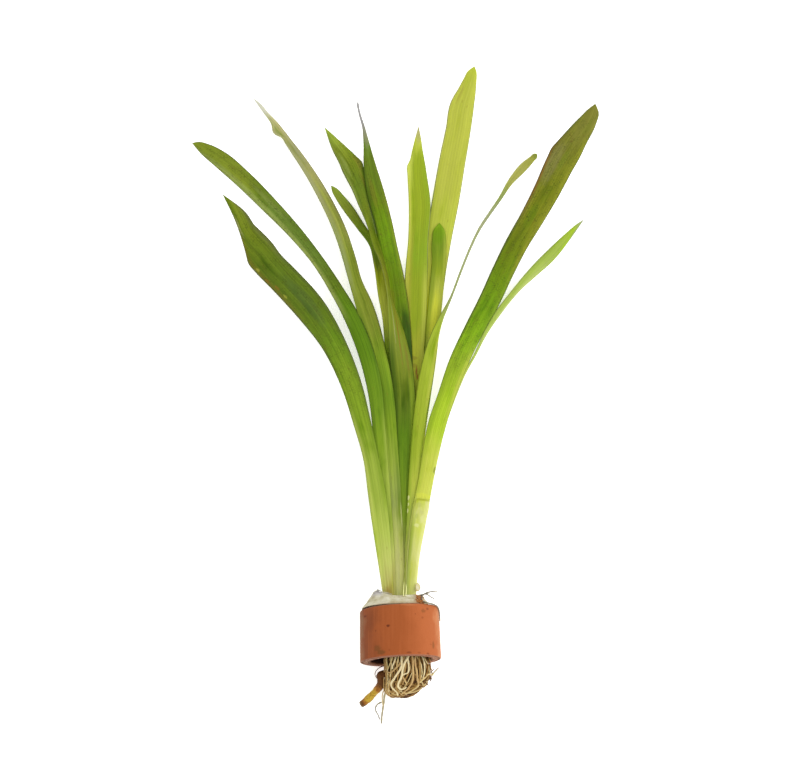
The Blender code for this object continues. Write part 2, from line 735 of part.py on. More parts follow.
def centre_over_origin(objects, cutters):
    """Parents everything to one empty and moves that, so that the outline's middle is at the origin."""
    bpy.context.view_layer.update()
    graph = bpy.context.evaluated_depsgraph_get()
    points = []
    for obj in objects:
        shown = obj.evaluated_get(graph)
        points += [shown.matrix_world @ vert.co for vert in shown.to_mesh().vertices]
        shown.to_mesh_clear()
    low_x, high_x = min(p.x for p in points), max(p.x for p in points)
    low_y, high_y = min(p.y for p in points), max(p.y for p in points)
    plant = bpy.data.objects.new("plant", None)
    plant.location = (-(low_x + high_x) / 2, -(low_y + high_y) / 2, 0)
    for obj in objects + cutters:
        obj.parent = plant
    return plant


def main():
    clear_scene()
    scene = bpy.context.scene
    pieces = bpy.data.collections.new("vallisneria")
    helpers = bpy.data.collections.new("cutters")
    scene.collection.children.link(pieces)
    scene.collection.children.link(helpers)
    made = []

    ring = finish(turned_ring(), (0.52, 0.17, 0.06), 0.85, pieces)
    ring.location = (0, 0, AXIS_Z * MM)
    made.append(ring)
    made.append(finish(wool_plug(), (0.82, 0.82, 0.76), 0.95, pieces))
    made.append(finish(crown(), (0.70, 0.66, 0.42), 0.6, pieces))
    tuft = finish(root_tuft(), (0.66, 0.55, 0.33), 0.8, pieces)
    made.append(tuft)
    made.append(finish(tapered_tube("runner_stub", RUNNER, 2, RUNNER_ROUND), (0.45, 0.27, 0.07), 0.5, pieces))
    room = cut_from(tuft, tapered_tube("runner_room", RUNNER, 2, RUNNER_ROUND, GAP), helpers)
    for name, (thick, thin, colour, points) in SINGLE_ROOTS.items():
        made.append(finish(single_root(name, thick, thin, points), colour, 0.7, pieces))
    for name, (layer, colour, rows) in LEAVES.items():
        blade = leaf(name, layer, rows, name in LEAVES_WITH_TORN_END)
        made.append(finish(blade, colour, 0.45, pieces))
    made.append(finish(dry_scale(), (0.70, 0.62, 0.40), 0.8, pieces))
    pieces.objects.link(centre_over_origin(made, [room]))


main()
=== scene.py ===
import math
import random

import bpy
import numpy as np
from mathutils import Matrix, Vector


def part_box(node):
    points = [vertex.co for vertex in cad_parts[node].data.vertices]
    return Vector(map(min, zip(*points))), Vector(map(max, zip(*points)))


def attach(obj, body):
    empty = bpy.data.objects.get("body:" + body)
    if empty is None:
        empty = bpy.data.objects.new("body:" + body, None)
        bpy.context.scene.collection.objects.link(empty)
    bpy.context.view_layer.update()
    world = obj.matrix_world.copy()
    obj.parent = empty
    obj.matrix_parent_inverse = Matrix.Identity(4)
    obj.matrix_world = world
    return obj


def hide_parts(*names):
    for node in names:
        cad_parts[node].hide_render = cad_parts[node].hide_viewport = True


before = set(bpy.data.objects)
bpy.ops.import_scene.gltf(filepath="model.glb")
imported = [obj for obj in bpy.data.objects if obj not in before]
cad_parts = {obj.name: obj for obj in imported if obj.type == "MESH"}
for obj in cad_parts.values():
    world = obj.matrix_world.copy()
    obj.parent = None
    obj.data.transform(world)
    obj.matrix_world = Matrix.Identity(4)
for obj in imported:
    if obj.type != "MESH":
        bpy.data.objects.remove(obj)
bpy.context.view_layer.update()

# The looks of a vallisneria that lies down: leaves fan out along +Y, the roots point along -Y.
# Lengths are millimetres from the middle of the clay ring, z from the surface, until a mesh is made.
MM = 0.001
RING_LOW, RING_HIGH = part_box("clay_ring")
RING_MIDDLE = (RING_LOW + RING_HIGH) / 2
HOME = Vector((RING_MIDDLE.x, RING_MIDDLE.y, 0.0))
AXIS_Z = RING_MIDDLE.z / MM
RNG = random.Random(7)

# Clay ring: sizes, its turn and lean on the surface, and the corners of its wall: radius, end, softness
RING_OUTER_R = 17.44
RING_TOP_R = 17.05
RING_INNER_R = 13.0
RING_HEIGHT = 22.2
RING_SIDES = 180
CORNER_POINTS = 6
WALL_POINT_STEP = 1.2
RING_TURN = 2.5
RING_LEAN = 1.7
RIM_SLOPE = 1.3
RING_CORNERS = [
    (RING_TOP_R, 1, 0.9), (RING_OUTER_R, -1, 0.7), (RING_INNER_R, -1, 0.8), (RING_INNER_R, 1, 1.0),
]

# Wool: rows of (y, left, right and front radius), y of its lip at the left, right, front and back, and
# the hole for the crown, which shuts below the lip
WOOL_OUTSIDE = [
    (-1.0, 12.7, 12.7, 12.7), (11.5, 12.7, 12.7, 12.7), (11.9, 15.9, 13.0, 13.0),
    (14.0, 14.2, 12.4, 12.2), (16.0, 12.4, 11.4, 11.0), (18.2, 10.6, 10.2, 9.6),
]
WOOL_LIP_Y = (18.9, 16.2, 15.2, 16.6)
WOOL_SWELL_Y = 12.0
WOOL_SWELL_LENGTH = 6.2
WOOL_TOP_Y = 18.2
WOOL_MIDDLE = np.array([0.0, 14.0, AXIS_Z])
LUMPY_FROM_Y = 12.2
LUMPY_RISE = 1.5
LUMP_WAVES = 14
WOOL_COLUMNS = 120
WOOL_CUTS = 6
WOOL_FIBRES = 150
CORNER_FIBRES = 60
TORN_CORNER_ANGLE = 2.75
LOOSE_WOOL_ROOTS = 24
LOOSE_ROOTS_X = 8.1
LOOSE_ROOTS_Y = 13.7
HOLE_HALF_X = 8.8
HOLE_HALF_Z = 6.6
HOLE_SHUT = -2.2
HOLE_SHUT_Y = 8.0

# Leaves: the stack that they lie in, and how finely they are drawn
MIDDLE_LAYER = 4
CROWN_PITCH = 1.15
FLAT_PITCH = 0.95
LOWEST_LEAF_Z = 0.4
DROOP_FROM_Y = 20.0
DROOP_TO_Y = 125.0
LEAF_THICK = 0.5
LEAF_CAMBER = 0.3
FULL_CAMBER_HALF = 2.0
LEAST_LEAF_HALF = 0.08
LEAF_STEP = 1.3
LEAF_COLUMNS = 25
VEIN_HEIGHT = 0.05
VEIN_COUNT = 5
PAINT_LENGTH = 260.0
# Strength of the painted shade along each leaf's rim, by finish slot
RIM_SHADE = {"leaf_dark": 0.5, "leaf_green": 0.35, "leaf_pale": 0.15, "dry_leaf": 0.15}

# Floor, light and camera, in metres where no millimetres are named
VIEW_TARGET_MM = Vector((0.0, 111.5, 10.0))
VIEW_DISTANCE_MM = 1600.0
VIEW_TILT = math.radians(12.4)
MM_PER_PIXEL = 0.4375
IMAGE_WIDTH = 800
SENSOR_MM = 36.0
SKY_STRENGTH = 1.2
WINDOW_SIZE = (0.9, 1.2)
WINDOW_PLACE = (0.9, 0.1, 0.9)
WINDOW_POWER = 9.0
FLOOR_HALF = 4.0
FLOOR_Z = -0.0002
FLOOR_GLOW = 0.45

# Display colours (0 to 255) that the materials call by name
TONES = {
    "milk": (226, 227, 160), "cream": (210, 213, 132), "straw": (204, 212, 98),
    "dull cream": (182, 181, 100), "tan": (164, 152, 72), "soft lime": (186, 194, 102),
    "meadow": (172, 188, 82), "butter": (198, 204, 86), "pale lime": (187, 196, 76), "sun": (178, 184, 56),
    "lime": (164, 182, 52), "bright lime": (168, 194, 46), "spring": (148, 174, 42), "vivid": (132, 172, 24),
    "fresh": (126, 154, 34), "leaf": (110, 142, 28), "grass": (112, 150, 14), "green": (92, 128, 16),
    "deep": (76, 106, 14), "shade": (62, 92, 8), "olive": (97, 120, 26), "moss": (108, 125, 22),
    "dull green": (104, 129, 44), "yellow olive": (126, 141, 38), "brown olive": (122, 128, 32),
    "sage": (144, 158, 80), "grey sage": (150, 160, 100), "grey olive": (158, 157, 92),
    "thread khaki": (179, 175, 122), "khaki": (179, 177, 122), "silver": (205, 205, 198),
    "soft green": (146, 166, 60), "cool lime": (166, 186, 84), "khaki shade": (126, 121, 80),
    "net green": (50, 60, 8), "net brown": (92, 60, 24), "lime milk": (190, 202, 126),
    "khaki grey": (150, 152, 106), "pale sage": (189, 194, 83), "old gold": (188, 184, 74),
    "leaf lime": (156, 173, 42), "deep leaf": (106, 136, 12), "deep olive": (106, 122, 14),
    "warm olive": (121, 128, 22), "gold olive": (142, 146, 36), "brown moss": (122, 124, 38),
    "dusty moss": (130, 130, 50), "spoon": (168, 169, 88), "spoon end": (124, 138, 60),
    "soft olive": (136, 150, 48), "grey green": (82, 104, 48), "dull khaki": (148, 154, 70),
    # The palest base tone is painted light: paler than the leaf feet, against the shade between them at the
    # crown.
    "leaf khaki": (124, 120, 46), "bright sun": (218, 222, 74), "pale base": (240, 240, 172),
    "grey cream": (182, 184, 138), "silver sage": (158, 163, 124), "thread green": (136, 140, 104),
    # The "edge" tone is painted shade for the leaf margins.
    "thread": (148, 146, 148), "mauve": (146, 132, 104), "edge": (84, 98, 40), "rust": (150, 92, 40),
    "umber": (126, 102, 38), "clay shade": (120, 82, 56), "clay dark": (115, 59, 30), "clay": (141, 73, 34),
    "clay light": (158, 86, 46), "clay worn": (176, 116, 76), "clay dust": (140, 106, 90),
    "clay hole": (44, 18, 12), "clay stain": (84, 36, 16), "algae": (88, 58, 22),
    "wool white": (194, 191, 172), "wool": (176, 171, 144), "wool shade": (152, 143, 114),
    "wool rust": (150, 92, 44), "wool tan": (160, 142, 110), "rust root": (166, 102, 46),
    "wool lilac": (168, 166, 178), "root cream": (208, 192, 150), "root pale": (184, 162, 108),
    "root pink": (172, 140, 92), "root tan": (150, 118, 64), "root gold": (126, 90, 38),
    "root brown": (92, 58, 24), "root dark": (52, 30, 10), "knob": (86, 52, 22), "knob light": (118, 76, 30),
    "runner orange": (150, 98, 34), "runner gold": (172, 142, 50), "runner cut": (124, 104, 70),
    "scale tan": (186, 176, 122), "scale brown": (136, 112, 62),
}

# Each leaf: its layer in the stack, and rows from the crown to the tip of x, y, lift off the stack, left
# and right half width, and the roll in degrees where there is one.
LEAVES = {
    "leaf_low_left": (8, [
        (-4.7, 14.6, 0, 2.3, 2.3), (-6.2, 32, 0, 3.4, 2.7), (-8.2, 50, 0, 4.1, 3.4), (-9.6, 61, 0, 4.2, 3.6),
        (-12.6, 78.5, 0, 3.5, 3.2), (-16.3, 94.5, 0, 4.1, 3.7), (-21.3, 112.5, -0.3, 4.7, 4.4),
        (-29.4, 131, -1.6, 5.3, 5.5), (-39, 146.5, -3.4, 6.8, 6.7), (-52.5, 162, -5.4, 6.8, 7),
        (-58, 168.6, -6.2, 7.3, 6.5), (-62, 173.5, -6.8, 7.1, 7), (-66.7, 178.5, -7.2, 3.4, 7.1),
        (-70, 183, -7.5, 1.3, 6.4), (-72.5, 189, -7.8, 1, 5.3), (-79.1, 200.8, -7.7, 0, 0),
    ]),
    "leaf_upper_left": (7, [
        (-4.2, 14.6, 0, 3, 2.6), (-5.2, 36.5, 0, 3, 2.8), (-6.7, 57, 0, 3.2, 3), (-8, 77.5, 0, 3.2, 2.8),
        (-9.3, 96, 0, 3.1, 2.7), (-11, 112, 0, 3.7, 3), (-14.7, 128, 0, 4.2, 2.9),
        (-20.6, 142.5, -0.3, 3.9, 3), (-28.2, 155.5, -1, 2.9, 3.1), (-36, 168.5, -2.4, 2.8, 2.7),
        (-46, 182, -3.9, 3.4, 2.9), (-58.2, 195.5, -5.2, 3.9, 3.6), (-70, 207.5, -6.3, 4, 4.1),
        (-81.4, 217, -6.9, 3.3, 4.4), (-87.6, 221, -6.9, 2.1, 3.5), (-91, 223.2, -6.5, 0.9, 1.9),
        (-92.9, 224.2, -6.3, 0, 0),
    ]),
    "leaf_narrow_left": (6, [
        (-1.3, 14.6, 0, 3.2, 3), (-1.8, 39, 0, 3.3, 3.3), (-3, 64, 0, 3.4, 3.3), (-4.7, 87, 0, 3.6, 3.6),
        (-6.6, 107.5, 0, 4, 4), (-10, 128, 0, 3.9, 3.8), (-15.8, 148.5, -0.2, 4, 4, 15),
        (-19.8, 160, -0.6, 3.4, 3.3, 28), (-22.3, 170, -1.2, 4.1, 3.6, 38), (-26.7, 184, -1.9, 4.6, 3.7, 42),
        (-33, 197.5, -2.6, 4.2, 3.6, 42), (-41.2, 211.5, -3.2, 3.3, 3.4, 42),
        (-46.6, 219.6, -3.8, 2.7, 3, 40), (-49.9, 224.5, -4.1, 2.3, 2.4, 38),
        (-51.7, 227.1, -4.2, 2.1, 2.2, 36), (-52.4, 228.1, -4.3, 3.2, 2.15, 35),
        (-53.8, 229.9, -4.4, 4, 2.1, 34), (-55, 231.6, -4.6, 2.9, 2, 32), (-56.2, 233.2, -4.7, 1.8, 1.8, 30),
        (-59.6, 237.6, -5, 1.1, 1.1, 26), (-62.5, 241.5, -5.1, 0.9, 0.9, 20), (-66.2, 245.6, -5.3, 0, 0, 15),
    ]),
    "leaf_cut_tip": (5, [
        (1.5, 14.6, 0, 3.2, 2.8), (1.1, 41.5, 0, 3.2, 3), (1.3, 64, 0, 3.7, 3.7), (1.7, 87, 0, 4.6, 4.6),
        (1.7, 108, 0, 5, 5), (1, 118, 0.1, 4.9, 4.9, 2), (-0.4, 128, 1.6, 4.7, 4.8, 22),
        (-2.7, 142, 3.7, 4.6, 4.6, 54), (-4.8, 152, 4.4, 4.3, 4.3, 76), (-6.2, 160.5, 4.3, 4.2, 4.2, 74),
        (-8, 167.5, 4, 4.1, 4, 70), (-10.5, 174.5, 2.2, 3.2, 4.3, 60), (-12.4, 182, 0.8, 2.6, 4.2, 55),
        (-15.1, 193.5, -0.7, 4.5, 4, 45), (-17.6, 203.5, -1.7, 4.9, 4.2, 25),
        (-20.4, 210, -2.2, 4.9, 4.9, 15), (-21.7, 213, -2.5, 4.8, 5.3, 10), (-23, 215.4, -2.7, 4.4, 4.4, 8),
        (-27.4, 222, -3.2, 3.2, 2.6, 5), (-33.9, 231.6, -3.8, 0, 0),
    ]),
    "leaf_thread_tip": (4, [
        (1.7, 14.6, 0, 3.4, 2.8), (1.9, 50.5, 0, 3.2, 3.2), (2, 82.5, 0, 3.7, 3.7), (1.8, 106, 0, 3.9, 3.9),
        (1.1, 128.5, 0, 4.3, 4.3), (-0.2, 146.5, 0, 4.1, 4.3), (-2, 160.5, 0, 3.8, 4),
        (-4.6, 174, 0, 4.2, 3.7), (-7.5, 187.5, 0, 3.9, 3.8), (-11.1, 201.5, -0.3, 3.9, 3.8),
        (-13.4, 213, -1, 2.8, 2.7), (-15.2, 225, -1.8, 1.2, 1.2), (-16.4, 231.5, -2.2, 0.6, 0.7),
        (-17.8, 236.5, -2.4, 0.5, 0.5), (-18.6, 240, -2.5, 0.45, 0.45), (-18.9, 242.4, -2.6, 0.4, 0.4),
        (-19, 243.2, -2.6, 0, 0),
    ]),
    "leaf_small": (3, [
        (-2.2, 14.6, 0, 2, 2), (-2, 60, 0, 1.9, 1.9), (-2.6, 87.5, 0, 1.9, 1.9), (-3.2, 110.5, 0, 2, 2),
        (-4.9, 131, -0.6, 1.9, 1.9), (-5.9, 143.5, -1.2, 1.9, 1.9), (-7.5, 154, -1.8, 2.2, 2.1),
        (-9.5, 168, -2.2, 2.1, 2.2), (-12.2, 177.5, -2.4, 1.6, 1.9), (-17.4, 185.5, -2.3, 1.9, 1.9),
        (-22.9, 193.5, -2.2, 2.2, 2.3), (-26.9, 199, -2.2, 1.8, 1.9), (-29.4, 202.6, -2.3, 1.1, 1.3),
        (-30.8, 204.6, -2.4, 0, 0),
    ]),
    "leaf_pale_centre": (3, [
        (2.9, 14.6, 0, 2.5, 2.8), (3.9, 51, 0, 3, 3), (4.6, 83, 0, 3.7, 3.7), (5.5, 106, 0, 4.2, 4.2),
        (6.2, 129, 0, 4.6, 4.6), (6.8, 147, 0, 5, 5), (7.2, 162.5, 0, 5, 5), (8, 179, 0, 4.4, 4.5),
        (8.9, 195, -0.5, 5, 4.7), (7.8, 209, -1.2, 4.5, 4.2), (7.7, 213.4, -1.5, 4.5, 3.7),
        (7.7, 215.8, -1.6, 3.4, 3.3), (7.7, 220.5, -1.8, 2.3, 2.5), (8.1, 226.4, -2, 1.3, 1.3),
        (8.3, 232.2, -2.2, 0, 0),
    ]),
    "leaf_tallest": (1, [
        (3.2, 14.6, 0, 2.8, 2.8), (4.3, 42.5, 0, 3, 3), (5.7, 69.5, 0, 3.5, 3.5), (7.4, 92.5, 0, 3.9, 3.9),
        (9.1, 111, 0, 4.7, 4.8), (10.8, 129, -0.2, 5.3, 5.5), (12.4, 145, -0.4, 5.4, 5.6),
        (14.4, 161, -0.5, 5.6, 5.4), (17.4, 179.5, -0.5, 5.9, 5.4), (20.5, 197.5, -0.3, 6.2, 5.8),
        (23.7, 216, 0, 6.2, 5.6), (26.3, 230, 0.3, 5.9, 5.3), (28.2, 241.5, 0.3, 5.7, 5),
        (30.2, 247.8, 0.2, 4.4, 3.8), (32, 253.6, 0, 3.3, 2.4), (33, 257.4, -0.2, 2.4, 1.4),
        (33.4, 260, -0.4, 0, 0),
    ]),
    "leaf_young": (2, [
        (2.4, 14.6, 0, 2.4, 2.4), (3.5, 42, 0, 2.4, 2.4), (5.2, 64.5, 0, 2.6, 2.6), (7.4, 88, 0, 2.7, 2.7),
        (10.1, 106, 0, 3, 3), (12.8, 124.5, 0, 3.1, 3.1), (14.6, 140.5, 0, 3.1, 3.1),
        (16.1, 156, 0, 3.1, 3.1), (17.2, 169, -0.1, 3.1, 3.1), (17.3, 179, -0.2, 3.1, 3.1),
        (17.4, 184.5, -0.3, 2, 2), (17.5, 187, -0.4, 0, 0),
    ]),
    "leaf_twisted": (7, [
        (3.4, 14.6, 0, 2.2, 1.9), (4.7, 41, 0, 2.3, 2.3), (6.1, 63.5, 0, 2.6, 2.6), (7.4, 84.5, 0, 2.6, 2.6),
        (9.3, 103, 0, 2.7, 3), (10.9, 115, 0, 2.6, 3.5, 5), (12.6, 124.5, 0, 2.4, 3.3, 20),
        (14.7, 132.5, -0.2, 2.5, 2.8, 40), (17.6, 141, -0.8, 2.6, 2.6, 66), (22.1, 151.5, -2, 2.6, 2.6, 84),
        (26.5, 163.5, -2.8, 2.6, 2.6, 85), (30.8, 174.5, -3.3, 2.6, 2.6, 85),
        (35, 183.5, -3.6, 2.6, 2.6, 84), (40.5, 192, -3.7, 2.5, 2.5, 82), (44.5, 198, -4, 2.4, 2.4, 78),
        (49, 205.5, -4.5, 2.2, 2.2, 62), (55, 212.5, -5.1, 2.3, 2.1, 40), (59.2, 216.8, -5.4, 1.4, 1.3, 26),
        (60.7, 218.5, -5.5, 0.95, 0.95, 21), (61.1, 219, -5.5, 0, 0, 20),
    ]),
    "leaf_long_right": (8, [
        (4.5, 14.6, 0, 2.4, 2), (5.6, 32, 0, 2.8, 2.6), (8.1, 50, 0, 3.5, 3.3), (11.2, 68, 0, 3.3, 3.3),
        (13.5, 81, 0, 3.6, 3.6), (16.1, 93.5, 0, 4, 4), (20.4, 107, 0, 3.9, 3.8),
        (25.7, 122, -0.4, 4.3, 4.2), (32.2, 136.5, -1.4, 4.3, 4.4), (39.5, 150.5, -2.8, 4.8, 4.6),
        (45.7, 164.5, -4.1, 4.9, 4.8), (51.9, 177, -5.2, 5.2, 4.8), (58.7, 189, -6.1, 5.5, 5.1),
        (65.8, 202.5, -7.2, 6.1, 5.7), (71.6, 214.5, -7.8, 6.8, 6.1), (74.3, 219.1, -7.9, 7.2, 6),
        (75.4, 220.9, -7.9, 6.8, 5.9), (78.3, 225.5, -7.9, 5.9, 5.2), (84.6, 235, -7.4, 4, 3.6),
        (86.5, 239.4, -7, 2.2, 2.6), (87.4, 242.4, -6.8, 0, 0),
    ]),
    "leaf_low_right": (0, [
        (3.9, 14.6, 0, 2.2, 1.8), (6.5, 40, 0, 2.2, 2.2), (10.5, 65, 0, 2.1, 2.6), (14.5, 83.5, 0, 2.1, 2.6),
        (18.6, 97.5, 0.4, 2.1, 2.3, 15), (24.2, 110, 1.3, 2.1, 1.9, 52), (29.2, 120.1, 1.9, 2.1, 2, 82),
        (32.8, 126.6, 1.9, 2.1, 2, 82), (37.5, 136.2, 1.9, 2.2, 1.8, 70), (43.6, 145.9, 1.5, 2.4, 1.8, 56),
        (48.3, 152, 1.5, 2.5, 1.6, 55), (53.2, 158, 1.5, 2.6, 1.9, 52), (59.1, 164.3, 1, 2.7, 2.1, 32),
        (66.9, 172.2, 0.4, 2.8, 2.3, 8), (75.1, 181.7, 0, 1.7, 1.5), (79.2, 186.4, 0, 0.8, 0.8),
        (82, 189.2, 0, 0, 0),
    ]),
    "old_sheath": (9, [
        (4.8, 14.6, 0, 2.5, 1.9), (6, 32, 0, 2.6, 2.3), (8.2, 50, 0, 3, 3.2), (9, 56, 0, 2.8, 3.6),
        (9.4, 59, 0, 2.3, 3.5),
    ]),
}
LEAVES_WITH_TORN_END = ("old_sheath",)
